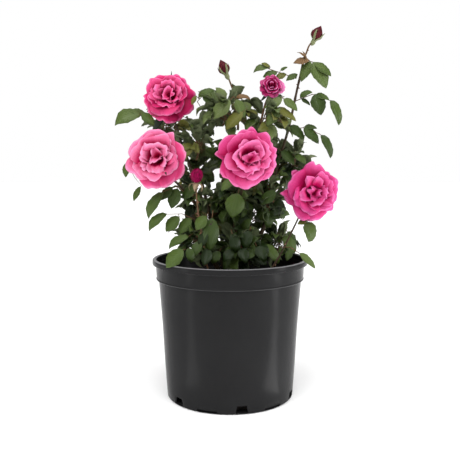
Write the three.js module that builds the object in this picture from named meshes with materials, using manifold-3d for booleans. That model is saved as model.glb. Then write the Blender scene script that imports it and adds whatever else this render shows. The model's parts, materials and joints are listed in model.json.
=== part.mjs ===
// Rose bush in a nursery pot: pot, potting mix, stems, leafy masses, blooms and buds.
// Millimetres, +Z up, front towards -Y. Origin: centre of the pot's flat underside.
import * as THREE from 'three';
import { mergeVertices } from 'three/addons/utils/BufferGeometryUtils.js';
import Module from 'manifold-3d';

const wasm = await Module();
wasm.setup();

// ---- driving dimensions ----
const POT_HEIGHT = 251;        // foot to rim
const RIM_R = 140;             // outer edge of the rolled lip
const LIP_HEIGHT = 10;         // depth of the rolled lip
const COLLAR_R = 132.6;        // outside of the collar at its lower step
const COLLAR_BOTTOM = 216;     // height of that step
const WALL_TOP_R = 129;        // outside of the wall just under the step
const WALL_MID_R = 122.4;      // outside of the wall at half height
const FOOT_R = 115;            // outside of the wall at the foot
const WALL = 2;                // wall and floor thickness
const POT_SIDES = 36;
const NOTCHES = 6;             // drain notches round the foot
const NOTCH_FIRST_DEG = -80;   // bearing of the first notch
const NOTCH_WIDE = 24;         // notch width at the foot
const NOTCH_HIGH = 15;
const SOIL_TOP = 203;          // level of the potting mix at the middle
const GAP = 0.35;              // clearance between neighbouring pieces
const UNION_R = 19;            // flared foot of the bud union
const UNION_HIGH = 24;

// ---- materials ----
const coat = (name, color, roughness) =>
  Object.assign(new THREE.MeshStandardMaterial({ color, roughness, metalness: 0 }), { name });
const POT_COAT = coat('pot_plastic', 0x1b1c1e, 0.7);
const SOIL_COAT = coat('potting_mix', 0x2c2119, 0.75);
const OLD_WOOD = coat('green_cane', 0x4f5a35, 0.65);
const YOUNG_WOOD = coat('young_stem', 0x6f4a36, 0.65);
const LEAF_COAT = coat('foliage', 0x46613f, 0.9);
const BLOOM_COAT = coat('petals', 0xe0559a, 0.9);
const BUD_COAT = coat('bud', 0x6b2036, 0.9);

// ---- common tools ----
// Repeatable random numbers, so the same bush is built every time.
function dice(seed) {
  let s = seed >>> 0;
  return () => {
    s = (s + 0x6d2b79f5) >>> 0;
    let t = Math.imul(s ^ (s >>> 15), 1 | s);
    t = (t + Math.imul(t ^ (t >>> 7), 61 | t)) ^ t;
    return ((t ^ (t >>> 14)) >>> 0) / 4294967296;
  };
}

// Weld coincident corners and drop triangles that have closed up.
function weld(geometry) {
  geometry.deleteAttribute('normal');
  geometry.deleteAttribute('uv');
  const welded = mergeVertices(geometry, 1e-4);
  const index = welded.index.array;
  const kept = [];
  for (let i = 0; i < index.length; i += 3) {
    const [a, b, c] = [index[i], index[i + 1], index[i + 2]];
    if (a !== b && b !== c && c !== a) kept.push(a, b, c);
  }
  welded.setIndex(kept);
  return welded;
}

const toSolid = (geometry) => new wasm.Manifold(new wasm.Mesh({
  numProp: 3,
  vertProperties: new Float32Array(geometry.attributes.position.array),
  triVerts: new Uint32Array(geometry.index.array),
}));

// Back from a cut solid; only its largest connected body is kept.
function toGeometry(solid) {
  const mesh = solid.getMesh();
  const stride = mesh.numProp;
  const points = [];
  for (let i = 0; i < mesh.vertProperties.length; i += stride) {
    points.push(mesh.vertProperties[i], mesh.vertProperties[i + 1], mesh.vertProperties[i + 2]);
  }
  const whole = new THREE.BufferGeometry();
  whole.setAttribute('position', new THREE.Float32BufferAttribute(points, 3));
  whole.setIndex(Array.from(mesh.triVerts));
  const index = whole.index.array;
  const owner = Array.from({ length: points.length / 3 }, (_, i) => i);
  const root = (i) => {
    while (owner[i] !== i) { owner[i] = owner[owner[i]]; i = owner[i]; }
    return i;
  };
  for (let i = 0; i < index.length; i += 3) {
    owner[root(index[i])] = root(index[i + 1]);
    owner[root(index[i + 1])] = root(index[i + 2]);
  }
  const count = new Map();
  for (let i = 0; i < index.length; i += 3) {
    count.set(root(index[i]), (count.get(root(index[i])) || 0) + 1);
  }
  const best = [...count.entries()].sort((a, b) => b[1] - a[1])[0][0];
  const kept = [];
  for (let i = 0; i < index.length; i += 3) {
    if (root(index[i]) === best) kept.push(index[i], index[i + 1], index[i + 2]);
  }
  whole.setIndex(kept);
  return whole;
}

const rose = new THREE.Group();
rose.name = 'rose_bush_in_pot';

function place(name, geometry, material) {
  geometry.computeVertexNormals();
  const mesh = new THREE.Mesh(geometry, material);
  mesh.name = name;
  rose.add(mesh);
}

// A profile of (radius, height) pairs turned about the Z axis.
function turned(profile, sides) {
  const lathe = new THREE.LatheGeometry(profile.map(([r, z]) => new THREE.Vector2(r, z)), sides);
  lathe.rotateX(Math.PI / 2);
  return weld(lathe);
}

// ---- pot ----
// Blow-moulded nursery pot: slightly bellied wall, collar above a step, rolled lip.
const insideWall = [
  [FOOT_R - WALL, WALL], [WALL_MID_R - WALL, POT_HEIGHT / 2], [WALL_TOP_R - WALL, COLLAR_BOTTOM],
];

function makePot() {
  const lipBottom = POT_HEIGHT - LIP_HEIGHT;
  const profile = [
    [0, 0], [FOOT_R - 3, 0], [FOOT_R, 3], [WALL_MID_R, POT_HEIGHT / 2],
    [WALL_TOP_R, COLLAR_BOTTOM - 1], [COLLAR_R, COLLAR_BOTTOM + 1],
    [134.2, lipBottom], [RIM_R - 1.5, lipBottom], [RIM_R, lipBottom + 3], [RIM_R, POT_HEIGHT - 2],
    [RIM_R - 2, POT_HEIGHT], [RIM_R - 6.5, POT_HEIGHT], [132.4, POT_HEIGHT - 3],
    [COLLAR_R - WALL, COLLAR_BOTTOM + 4],
    ...insideWall.slice().reverse(), [0, WALL],
  ];
  let solid = toSolid(turned(profile, POT_SIDES));
  for (let k = 0; k < NOTCHES; k += 1) {
    const outline = new THREE.Shape([
      new THREE.Vector2(-NOTCH_WIDE / 2, -2), new THREE.Vector2(NOTCH_WIDE / 2, -2),
      new THREE.Vector2(NOTCH_WIDE / 2 - 4, NOTCH_HIGH), new THREE.Vector2(4 - NOTCH_WIDE / 2, NOTCH_HIGH),
    ]);
    const cutter = new THREE.ExtrudeGeometry(outline, { depth: 24, bevelEnabled: false });
    cutter.rotateX(Math.PI / 2).rotateZ(Math.PI).translate(0, FOOT_R - 14, 0);
    cutter.rotateZ(THREE.MathUtils.degToRad(NOTCH_FIRST_DEG - 90 + (360 / NOTCHES) * k));
    solid = solid.subtract(toSolid(weld(cutter)));
  }
  return toGeometry(solid);
}
place('pot', makePot(), POT_COAT);

// ---- potting mix ----
function makeSoil() {
  const inset = 0.9;
  const wallAt = (z) => {
    const [low, mid, high] = insideWall;
    const [a, b] = z < mid[1] ? [low, mid] : [mid, high];
    return a[0] + ((b[0] - a[0]) * (z - a[1])) / (b[1] - a[1]) - inset;
  };
  const edge = SOIL_TOP - 5;
  return turned([
    [0, WALL + GAP], [wallAt(WALL), WALL + GAP], [wallAt(POT_HEIGHT / 2), POT_HEIGHT / 2],
    [wallAt(edge), edge], [46, SOIL_TOP], [0, SOIL_TOP],
  ], POT_SIDES);
}
place('potting_mix', makeSoil(), SOIL_COAT);

// ---- bud union ----
// The knobbly stump all canes spring from, cut flat where it meets the mix.
function unionGeometry(extra) {
  const rows = [[1, 0], [0.8, 6], [0.86, 14], [0.66, UNION_HIGH - 4], [0.3, UNION_HIGH]];
  const outline = rows.map(([r, h]) => [
    UNION_R * r + 1.5 * extra, SOIL_TOP + GAP + h + (h > 8 ? extra : -extra),
  ]);
  const knob = turned([[0, outline[0][1]], ...outline, [0, outline[4][1]]], 12);
  const at = knob.attributes.position;
  for (let i = 0; i < at.count; i += 1) {
    const swell = 1 + 0.12 * Math.sin(3 * Math.atan2(at.getY(i), at.getX(i)) + 0.8);
    at.setXY(i, at.getX(i) * swell, at.getY(i) * swell);
  }
  return knob;
}
place('bud_union', unionGeometry(0), OLD_WOOD);

// ---- leafy masses and blooms ----
// Each is an uneven closed lump about its own centre: half sizes [across, deep, tall],
// leaned about Y by lean degrees and turned about Z by turn degrees.
const lumps = [];

function lump(name, material, centre, half, lean, turn, uneven, rank) {
  const roll = dice(lumps.length * 977 + 31);
  const ball = weld(new THREE.IcosahedronGeometry(1, 2));
  const at = ball.attributes.position;
  const spots = Array.from({ length: 12 }, () => {
    const way = new THREE.Vector3(roll() * 2 - 1, roll() * 2 - 1, roll() * 2 - 1).normalize();
    return { way, push: (roll() * 2 - 1) * uneven };
  });
  const pose = new THREE.Euler(0, THREE.MathUtils.degToRad(lean), THREE.MathUtils.degToRad(turn), 'ZYX');
  const rays = [];
  for (let i = 0; i < at.count; i += 1) {
    const p = new THREE.Vector3().fromBufferAttribute(at, i).normalize();
    let size = 1;
    for (const s of spots) size += s.push * Math.max(0, p.dot(s.way)) ** 5;
    p.multiplyScalar(size).multiply(new THREE.Vector3(...half)).applyEuler(pose);
    rays.push(p);
  }
  lumps.push({ name, material, centre: new THREE.Vector3(...centre), rays, index: ball.index, rank });
}

// Neighbouring lumps are kept apart by a flat parting face: of many directions, the one in
// which they overlap least. The lump of lower rank gives way.
function reach(body, way) {
  let far = 0;
  for (const ray of body.rays) far = Math.max(far, ray.dot(way));
  return far;
}

function partAll() {
  const ways = [];
  const ball = weld(new THREE.IcosahedronGeometry(1, 3)).attributes.position;
  for (let i = 0; i < ball.count; i += 1) ways.push(new THREE.Vector3().fromBufferAttribute(ball, i).normalize());
  for (let i = 0; i < lumps.length; i += 1) {
    for (let j = i + 1; j < lumps.length; j += 1) {
      const [a, b] = [lumps[i], lumps[j]];
      const between = b.centre.clone().sub(a.centre);
      let least = null;
      for (const way of [...ways, between.clone().normalize()]) {
        const across = between.dot(way);
        if (across <= 1) continue;
        const ha = reach(a, way);
        const hb = reach(b, way.clone().negate());
        const over = ha + hb + GAP - across;
        if (!least || over < least.over) least = { way, over, ha, hb };
      }
      if (least.over <= 0) continue;
      const share = a.rank === b.rank ? least.ha / (least.ha + least.hb) : (a.rank < b.rank ? 1 : 0);
      const roomA = Math.min(least.over * share, least.ha * 0.8);
      trim(a, least.way, least.ha - roomA);
      trim(b, least.way.clone().negate(), least.hb - (least.over - roomA));
    }
  }
}

function trim(body, way, limit) {
  if (limit < 1.5) throw new Error(`${body.name} is squeezed out (${limit.toFixed(1)})`);
  for (const ray of body.rays) {
    const far = ray.dot(way);
    if (far > limit) ray.multiplyScalar(limit / far);
  }
}

function lumpGeometry(body, extra) {
  const points = [];
  for (const ray of body.rays) {
    const p = ray.clone().multiplyScalar(1 + extra / ray.length()).add(body.centre);
    points.push(p.x, p.y, p.z);
  }
  const geometry = new THREE.BufferGeometry();
  geometry.setAttribute('position', new THREE.Float32BufferAttribute(points, 3));
  geometry.setIndex(body.index.clone());
  return geometry;
}

const mass = (name, centre, half, lean = 0, turn = 0) =>
  lump(name, LEAF_COAT, centre, half, lean, turn, 0.34, 1);
const pad = (name, centre, half, lean = 0, turn = 0) =>
  lump(name, LEAF_COAT, centre, half, lean, turn, 0.26, 1);
const bloom = (name, centre, radius, deep, lean, turn) =>
  lump(name, BLOOM_COAT, centre, [radius, deep, radius], lean, turn, 0.1, 2);

// Dense heart of the bush, from inside the rim upwards.
mass('foot_centre_mass', [14, -14, 286], [44, 50, 44]);
mass('foot_left_mass', [-56, -14, 284], [40, 42, 36], 8);
mass('foot_right_mass', [88, 20, 278], [30, 34, 32], -15);
mass('mid_centre_mass', [8, 2, 352], [50, 46, 38]);
mass('mid_right_mass', [76, 14, 358], [30, 40, 44], 6);
mass('mid_left_mass', [-60, 4, 366], [32, 38, 34]);
mass('upper_centre_mass', [22, 12, 428], [44, 42, 44]);
mass('upper_left_mass', [-58, 10, 462], [34, 34, 44]);
mass('upper_right_mass', [117, 24, 420], [21, 28, 36]);
mass('top_centre_mass', [-12, -4, 512], [42, 30, 30], -10);
mass('top_right_mass', [60, 6, 500], [33, 30, 34], 8);
mass('back_left_low_mass', [-44, 78, 318], [48, 40, 54]);
mass('back_right_low_mass', [52, 82, 322], [48, 40, 54]);
mass('back_left_mid_mass', [-66, 72, 420], [40, 34, 46]);
mass('back_right_mid_mass', [54, 78, 430], [44, 34, 46]);

// Thin pads: the leaf sprays that reach out from the heart.
pad('left_spray', [-158, -4, 503], [50, 22, 12], -10);
pad('left_drop_spray', [-164, -34, 392], [17, 16, 38], 18);
pad('left_hanging_spray', [-116, -38, 358], [38, 22, 18], -42);
pad('left_low_spray', [-108, -36, 318], [36, 24, 14], -8);
pad('left_rim_leaf', [-86, -100, 281], [17, 10, 26], 24);
pad('top_left_spray', [-44, -6, 544], [20, 15, 9], 6);
pad('top_right_spray', [77, 22, 584], [36, 14, 9], 0);
pad('top_bud_spray', [146, 8, 580], [33, 20, 24], 6);
pad('right_upper_spray', [161, -2, 520], [42, 20, 13], 32);
pad('right_lower_spray', [149, -8, 463], [40, 20, 14], 26);
pad('right_drop_spray', [138, -42, 302], [13, 12, 20], -14);
pad('right_rim_leaf', [126, -78, 270], [32, 8, 9], 32, 18);
pad('back_left_spray', [-122, 92, 498], [38, 22, 34], 20);
pad('back_right_spray', [126, 78, 404], [36, 30, 22], 20);

// Open blooms: five that face the front or rise above it, two on the hidden side.
bloom('bloom_upper_left', [-109, -4, 538], 44, 27, 0, 0);
bloom('bloom_left', [-124, -80, 430], 49, 28, 0, 6);
bloom('bloom_centre', [27, -125, 428], 48, 30, 0, 0);
bloom('bloom_right', [137, -60, 372], 49, 28, 0, -8);
bloom('bloom_half_open', [73, -6, 555], 20, 17, 0, 0);
bloom('bloom_back_left', [-138, 130, 436], 42, 26, 0, 32);
bloom('bloom_back_centre', [22, 142, 432], 43, 27, 0, 0);
partAll();
for (const body of lumps) place(body.name, lumpGeometry(body, 0), body.material);

// ---- buds ----
// A pointed spindle standing on its stem, leaned from upright towards +X (lean) and -Y (nod).
const buds = [];

function bud(name, base, tip, radius, material) {
  const axis = new THREE.Vector3(...tip).sub(new THREE.Vector3(...base));
  const high = axis.length();
  const shape = [[0, 0], [0.45, 0.05], [0.85, 0.2], [1, 0.38], [0.8, 0.62], [0.42, 0.84], [0, 1]];
  const turn = new THREE.Quaternion().setFromUnitVectors(new THREE.Vector3(0, 0, 1), axis.normalize());
  const grow = (extra) => {
    const g = turned(shape.map(([r, z]) => [
      r * radius + (r ? extra : 0), z * (high + 2 * extra) - extra,
    ]), 10);
    return g.applyQuaternion(turn).translate(...base);
  };
  place(name, grow(0), material);
  buds.push({ name, grow });
}
bud('bud_top', [146, 10, 634], [161, 10, 662], 10.5, BUD_COAT);
bud('bud_centre', [-4, -10, 571], [-17, -11, 600], 11, BUD_COAT);
bud('bud_low', [-57, -75, 380], [-55, -78, 411], 10, BUD_COAT);

// ---- canes and flower stems ----
// A tapering round limb from one end to the other, bowed sideways in the middle. It is cut back
// where it meets the union, a mass, a bloom or a bud.
const solids = [
  toSolid(unionGeometry(GAP)),
  ...lumps.map((body) => toSolid(lumpGeometry(body, GAP + 0.15))),
  ...buds.map((b) => toSolid(b.grow(GAP))),
];

function limb(name, from, to, thick, thin, bow, material) {
  const [a, b] = [new THREE.Vector3(...from), new THREE.Vector3(...to)];
  const middle = a.clone().lerp(b, 0.5).add(new THREE.Vector3(...bow).multiplyScalar(2));
  const curve = new THREE.QuadraticBezierCurve3(a, middle, b);
  const steps = 4;
  const profile = [[0, 0]];
  for (let k = 0; k <= steps; k += 1) {
    const t = k / steps;
    profile.push([(thick + (thin - thick) * t) * (k === 0 ? 1.12 : 1), t]);
  }
  profile.push([0, 1]);
  const tube = turned(profile, 6);
  const at = tube.attributes.position;
  const side = Math.abs(b.z - a.z) > 0.5 * a.distanceTo(b)
    ? new THREE.Vector3(1, 0, 0) : new THREE.Vector3(0, 0, 1);
  for (let i = 0; i < at.count; i += 1) {
    const t = Math.min(1, Math.max(0, at.getZ(i)));
    const along = curve.getTangent(t);
    const u = new THREE.Vector3().crossVectors(along, side).normalize();
    const v = new THREE.Vector3().crossVectors(along, u).normalize();
    const p = curve.getPoint(t).addScaledVector(v, at.getX(i)).addScaledVector(u, -at.getY(i));
    at.setXYZ(i, p.x, p.y, p.z);
  }
  let solid = toSolid(tube);
  for (const other of solids) solid = solid.subtract(other);
  place(name, toGeometry(solid), material);
}

// Basal canes, spread round the union and ending in the lowest masses.
limb('cane_left', [-8, -2, 214], [-58, -14, 272], 4.6, 3.8, [-4, 0, -4], OLD_WOOD);
limb('cane_centre', [3, -8, 214], [14, -14, 268], 4.2, 3.6, [0, -2, 0], OLD_WOOD);
limb('cane_right', [9, 0, 214], [88, 18, 270], 4.8, 3.8, [6, 0, -8], OLD_WOOD);
limb('cane_back_left', [-5, 8, 214], [-42, 76, 296], 4.4, 3.6, [0, 6, -6], OLD_WOOD);
limb('cane_back_right', [5, 9, 214], [50, 80, 296], 4.4, 3.6, [0, 6, -6], OLD_WOOD);
// Flower stems in the open, each from its mass to its bloom or bud.
limb('stem_right_bloom', [44, -62, 206], [127, -44, 352], 2.8, 1.9, [6, -3, -6], OLD_WOOD);
limb('stem_low_bud', [-28, -64, 205.5], [-57, -74, 384], 2.4, 1.6, [-5, -3, 0], YOUNG_WOOD);
limb('stem_upper_left_bloom', [-84, 8, 452], [-104, 6, 520], 2.3, 1.8, [-1, 2, 0], OLD_WOOD);
limb('stem_left_bloom', [-64, 2, 368], [-112, -62, 410], 2.6, 2, [0, 0, -6], OLD_WOOD);
limb('stem_centre_bloom', [18, -20, 356], [26, -104, 410], 2.6, 2, [0, -6, -8], OLD_WOOD);
limb('cane_tall', [80, 14, 400], [129, 9, 590], 2.8, 1.8, [3, 0, 0], OLD_WOOD);
limb('stem_top_bud', [130, 10, 588], [147, 10, 637], 1.8, 1.5, [-2, 0, 2], YOUNG_WOOD);
limb('stem_half_open_bloom', [58, 4, 508], [70, -2, 546], 1.9, 1.6, [-3, 0, 0], YOUNG_WOOD);
limb('stem_centre_bud', [10, -4, 516], [-4, -10, 574], 1.7, 1.4, [4, 0, 0], YOUNG_WOOD);
limb('stem_back_left_bloom', [-78, 76, 396], [-130, 118, 420], 2.5, 1.9, [0, 4, -5], OLD_WOOD);
limb('stem_back_centre_bloom', [30, 84, 380], [22, 128, 416], 2.5, 1.9, [0, 5, -5], OLD_WOOD);

export default rose;
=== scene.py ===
import json
import math
import random

import bmesh
import bpy
import numpy as np
from mathutils import Matrix, Quaternion, Vector

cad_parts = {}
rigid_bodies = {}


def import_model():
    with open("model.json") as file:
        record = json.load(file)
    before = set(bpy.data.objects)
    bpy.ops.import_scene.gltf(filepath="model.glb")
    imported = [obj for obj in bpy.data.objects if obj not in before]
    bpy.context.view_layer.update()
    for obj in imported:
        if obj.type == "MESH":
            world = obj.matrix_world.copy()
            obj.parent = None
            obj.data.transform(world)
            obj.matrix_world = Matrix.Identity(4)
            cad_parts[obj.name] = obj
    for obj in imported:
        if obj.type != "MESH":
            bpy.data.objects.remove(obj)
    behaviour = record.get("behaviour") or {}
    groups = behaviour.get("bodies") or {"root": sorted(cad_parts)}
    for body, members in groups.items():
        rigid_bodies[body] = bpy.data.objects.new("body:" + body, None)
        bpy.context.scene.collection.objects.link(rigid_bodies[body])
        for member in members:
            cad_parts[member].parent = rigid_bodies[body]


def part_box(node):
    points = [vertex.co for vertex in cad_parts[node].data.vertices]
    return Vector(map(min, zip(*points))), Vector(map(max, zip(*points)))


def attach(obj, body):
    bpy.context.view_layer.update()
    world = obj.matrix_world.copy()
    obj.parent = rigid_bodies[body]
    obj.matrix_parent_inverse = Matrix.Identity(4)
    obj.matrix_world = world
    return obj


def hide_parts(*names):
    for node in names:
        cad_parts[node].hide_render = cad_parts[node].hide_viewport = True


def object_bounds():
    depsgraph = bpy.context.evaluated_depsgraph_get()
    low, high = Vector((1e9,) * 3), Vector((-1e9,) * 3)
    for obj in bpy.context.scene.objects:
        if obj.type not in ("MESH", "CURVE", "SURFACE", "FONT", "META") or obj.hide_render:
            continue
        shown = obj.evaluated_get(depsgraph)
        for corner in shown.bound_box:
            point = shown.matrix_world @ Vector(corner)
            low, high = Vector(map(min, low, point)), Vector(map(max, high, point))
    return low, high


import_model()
cad_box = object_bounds()
scene = bpy.context.scene

# ---- Stage: a plain pale studio floor under a broad overhead panel, in a room that is dimmer on
# the left. Two tall softboxes at the sides and two strips lying on the floor draw the upright
# bands of sheen on the pot.
MM = 0.001
FLOOR_R = 14
FLOOR_GAP = 0.0002


def new_piece(name, mesh, materials, sharp=40):
    """An object from a finished mesh, smooth but for edges sharper than the given degrees."""
    data = bpy.data.meshes.new(name)
    mesh.to_mesh(data)
    mesh.free()
    for material in materials:
        data.materials.append(material)
    data.polygons.foreach_set("use_smooth", [True] * len(data.polygons))
    data.set_sharp_from_angle(angle=math.radians(sharp))
    piece = bpy.data.objects.new(name, data)
    scene.collection.objects.link(piece)
    return piece


def new_material(name, color, roughness):
    """A material with the nodes, links and shader that its maker goes on with."""
    material = bpy.data.materials.new(name)
    material.use_nodes = True
    shader = material.node_tree.nodes["Principled BSDF"]
    shader.inputs["Base Color"].default_value = (*color, 1)
    shader.inputs["Roughness"].default_value = roughness
    return material, material.node_tree.nodes, material.node_tree.links, shader


floor_mesh = bmesh.new()
bmesh.ops.create_circle(floor_mesh, cap_ends=True, segments=64, radius=FLOOR_R)
bmesh.ops.translate(floor_mesh, verts=floor_mesh.verts, vec=(0, 0, cad_box[0].z - FLOOR_GAP))
floor_paint = new_material("floor_paint", (0.97, 0.97, 0.97), 0.9)[0]
studio_floor = new_piece("studio_floor", floor_mesh, [floor_paint])

world = bpy.data.worlds.new("studio")
world.use_nodes = True
nodes, links = world.node_tree.nodes, world.node_tree.links
backdrop = nodes["Background"]
backdrop.inputs["Color"].default_value = (1, 1, 1, 1)
room = nodes.new("ShaderNodeSeparateXYZ")
links.new(nodes.new("ShaderNodeTexCoord").outputs["Generated"], room.inputs["Vector"])
room_light = nodes.new("ShaderNodeMapRange")
for end, value in (("From Min", -0.95), ("From Max", -0.35), ("To Min", 0.06), ("To Max", 0.55)):
    room_light.inputs[end].default_value = value
links.new(room.outputs["X"], room_light.inputs["Value"])
strength = nodes.new("ShaderNodeMapRange")
strength.inputs["To Max"].default_value = 1.0
links.new(room_light.outputs["Result"], strength.inputs["To Min"])
links.new(nodes.new("ShaderNodeLightPath").outputs["Is Camera Ray"], strength.inputs["Value"])
links.new(strength.outputs["Result"], backdrop.inputs["Strength"])
scene.world = world

panel = bpy.data.lights.new("overhead_panel", "SUN")
panel.energy = 3.2
panel.angle = math.radians(70)
panel_holder = bpy.data.objects.new("overhead_panel", panel)
panel_holder.rotation_euler = (math.radians(28), 0, math.radians(-14))
scene.collection.objects.link(panel_holder)


def softbox(name, place, target, wide, high, watts):
    lamp = bpy.data.lights.new(name, "AREA")
    lamp.shape = "RECTANGLE"
    lamp.size, lamp.size_y = wide, high
    lamp.energy = watts
    box = bpy.data.objects.new(name, lamp)
    scene.collection.objects.link(box)
    box.location = place
    box.rotation_euler = (Vector(target) - Vector(place)).to_track_quat("-Z", "Y").to_euler()
    return box


softbox("softbox_right", (1.45, -0.36, 0.30), (0, 0, 0.2), 0.26, 1.2, 14)
softbox("softbox_left", (-1.35, -0.63, 0.10), (0, 0, 0.1), 0.24, 0.9, 5)
STRIP_OUT, STRIP_LONG, STRIP_UP = 0.40, 0.54, 0.003
for name, side, bearing, wide, watts in (
        ("floor_strip_right", 1, 8, 0.075, 1.0), ("floor_strip_left", -1, 22, 0.08, 0.5)):
    forward = -0.10 - 0.335 * math.tan(math.radians(bearing))
    strip = softbox(name, (side * STRIP_OUT, forward, STRIP_UP), (0, 0, 0), STRIP_LONG, wide, watts)
    strip.rotation_euler = (math.pi, 0, math.radians(-side * bearing))

camera_data = bpy.data.cameras.new("front_camera")
camera_data.lens = 51.15
camera_data.sensor_width = 36
camera = bpy.data.objects.new("front_camera", camera_data)
camera.location = (0, -1.1754, 0.4196)
camera.rotation_euler = (math.radians(90 - 5.75), 0, 0)
scene.collection.objects.link(camera)
scene.camera = camera
scene.view_settings.view_transform = "Standard"

# ---- Pot: a blow-moulded nursery pot in black polyethylene. The wall bellies a little, a plain
# collar stands out above a step, the rim rolls over, and drain notches are cut round the foot.
# Pale lines round the collar's step, the foot of the rim and the rim's crest are painted highlights.
POT_HIGH = 251
RIM_R = 140
FOOT_R = 115
NOTCHES = 6
NOTCH_FIRST = -80
NOTCH_LOW, NOTCH_TOP = 2.2, 15.5
SLOT_LOW, SLOT_TOP = 1.4, 5.4
POT_PROFILE = [
    # radius, height: up the outside, over the rim and down the inside
    (0, 0), (60, 0), (106, 0), (112.2, 0.3), (114.3, 1.4), (115.1, 3.4), (116, 17), (116.3, 21),
    (118.9, 62), (122.4, 125.5), (126, 176), (128.9, 213.2), (129.2, 214), (132.6, 214.2),
    (133.3, 215), (133.4, 216.4), (132.7, 217.4), (134, 239.6), (134.6, 240.6), (138.4, 241),
    (139.6, 241.8), (RIM_R, 243.4), (RIM_R, 247.8), (139.5, 249.8), (138, 250.9), (136.2, POT_HIGH),
    (133.8, 250.6), (132.6, 249.4), (132.2, 246.8), (131.1, 219.5), (130.4, 217.6), (127.6, 216),
    (127.1, 213.6), (124.2, 176), (120.6, 125.5), (117.1, 62), (114.4, 21), (114.1, 17), (113.2, 4),
    (111, 2), (60, 2), (0, 2)]
# foot of the band that carries the painted highlight lines, in mm
PAINTED_HIGHLIGHT_FROM = 200
PAINTED_HIGHLIGHT_LINES = [
    # share of the height from the foot of the painted highlight band to just over the rim, how bright the
    # painted highlight is
    (0.0, 0), (0.260, 0), (0.268, 0.28), (0.278, 0.28), (0.300, 0), (0.760, 0), (0.772, 0.22),
    (0.790, 0), (0.955, 0), (0.970, 1.0)]


def ramp(nodes, links, source, stops):
    """Colours dealt along a value from 0 to 1; stops are (place, colour)."""
    node = nodes.new("ShaderNodeValToRGB")
    while len(node.color_ramp.elements) < len(stops):
        node.color_ramp.elements.new(0.5)
    for element, (place, color) in zip(node.color_ramp.elements, stops):
        element.position = place
        element.color = (*color, 1)
    links.new(source, node.inputs["Fac"])
    return node.outputs["Color"]


def noise(nodes, links, place, scale, detail=2.0, stretch=None):
    """Cloudy noise over a place socket, drawn out into streaks where stretch is given."""
    if stretch:
        mapping = nodes.new("ShaderNodeMapping")
        mapping.inputs["Scale"].default_value = stretch
        links.new(place, mapping.inputs["Vector"])
        place = mapping.outputs["Vector"]
    node = nodes.new("ShaderNodeTexNoise")
    node.inputs["Scale"].default_value = scale
    node.inputs["Detail"].default_value = detail
    links.new(place, node.inputs["Vector"])
    return node.outputs["Fac"]


def blend(nodes, links, factor, below, above, kind="MIX"):
    """One colour laid over another; each of the three is a socket or a plain value."""
    node = nodes.new("ShaderNodeMix")
    node.data_type = "RGBA"
    node.blend_type = kind
    for value, socket in ((factor, "Factor"), (below, "A"), (above, "B")):
        if isinstance(value, tuple):
            node.inputs[socket].default_value = (*value, 1)
        elif isinstance(value, float):
            node.inputs[socket].default_value = value
        else:
            links.new(value, node.inputs[socket])
    return node.outputs["Result"]


def relief(nodes, links, shader, height, strength, depth):
    """Bumps on the shader's surface, depth in metres."""
    node = nodes.new("ShaderNodeBump")
    node.inputs["Strength"].default_value = strength
    node.inputs["Distance"].default_value = depth
    links.new(height, node.inputs["Height"])
    links.new(node.outputs["Normal"], shader.inputs["Normal"])


pot_mesh = bmesh.new()
pot_line = [pot_mesh.verts.new((r * MM, 0, z * MM)) for r, z in POT_PROFILE]
pot_edges = [pot_mesh.edges.new(pair) for pair in zip(pot_line, pot_line[1:])]
bmesh.ops.spin(pot_mesh, geom=pot_line + pot_edges, cent=(0, 0, 0), axis=(0, 0, 1), dvec=(0, 0, 0),
               angle=math.tau, steps=144, use_merge=True, use_duplicate=False)
bmesh.ops.remove_doubles(pot_mesh, verts=pot_mesh.verts, dist=1e-6)
bmesh.ops.recalc_face_normals(pot_mesh, faces=pot_mesh.faces)

black_plastic, nodes, links, shader = new_material("black_plastic", (0.012, 0.012, 0.013), 0.4)
place = nodes.new("ShaderNodeTexCoord").outputs["Object"]
haze = noise(nodes, links, place, 14, 6)
wall_tone = ramp(nodes, links, haze, [(0.3, (0.0155, 0.0155, 0.016)), (0.75, (0.018, 0.018, 0.0185))])
height = nodes.new("ShaderNodeSeparateXYZ")
links.new(place, height.inputs["Vector"])
top_band = nodes.new("ShaderNodeMapRange")
top_band.inputs["From Min"].default_value = PAINTED_HIGHLIGHT_FROM * MM
top_band.inputs["From Max"].default_value = (POT_HIGH + 1) * MM
links.new(height.outputs["Z"], top_band.inputs["Value"])
# painted highlights: pale lines laid over the plastic's colour at the collar's step, the rim's foot and the
# rim's crest
painted_highlights = ramp(nodes, links, top_band.outputs["Result"], [(z, (pale, pale, pale)) for z, pale in PAINTED_HIGHLIGHT_LINES])
links.new(blend(nodes, links, painted_highlights, wall_tone, (0.17, 0.17, 0.175)), shader.inputs["Base Color"])
links.new(ramp(nodes, links, haze, [(0.3, (0.2, 0.2, 0.2)), (0.75, (0.27, 0.27, 0.27))]),
          shader.inputs["Roughness"])
relief(nodes, links, shader, noise(nodes, links, place, 900, 3), 0.12, 0.0002)
shader.inputs["IOR"].default_value = 1.11
pot = new_piece("nursery_pot", pot_mesh, [black_plastic], 30)

notch_mesh = bmesh.new()


def cutting_block(bearing, out, deep, wide_low, wide_top, low, top):
    """One block of the cutter, set across the pot's foot at its bearing."""
    made = bmesh.ops.create_cube(notch_mesh, size=1)["verts"]
    for v in made:
        upper = v.co.z > 0
        across = v.co.y * (wide_top if upper else wide_low)
        v.co = Vector((v.co.x * deep + out, across, top if upper else low)) * MM
    bmesh.ops.transform(notch_mesh, matrix=Matrix.Rotation(math.radians(bearing), 4, "Z"), verts=made)


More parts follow.
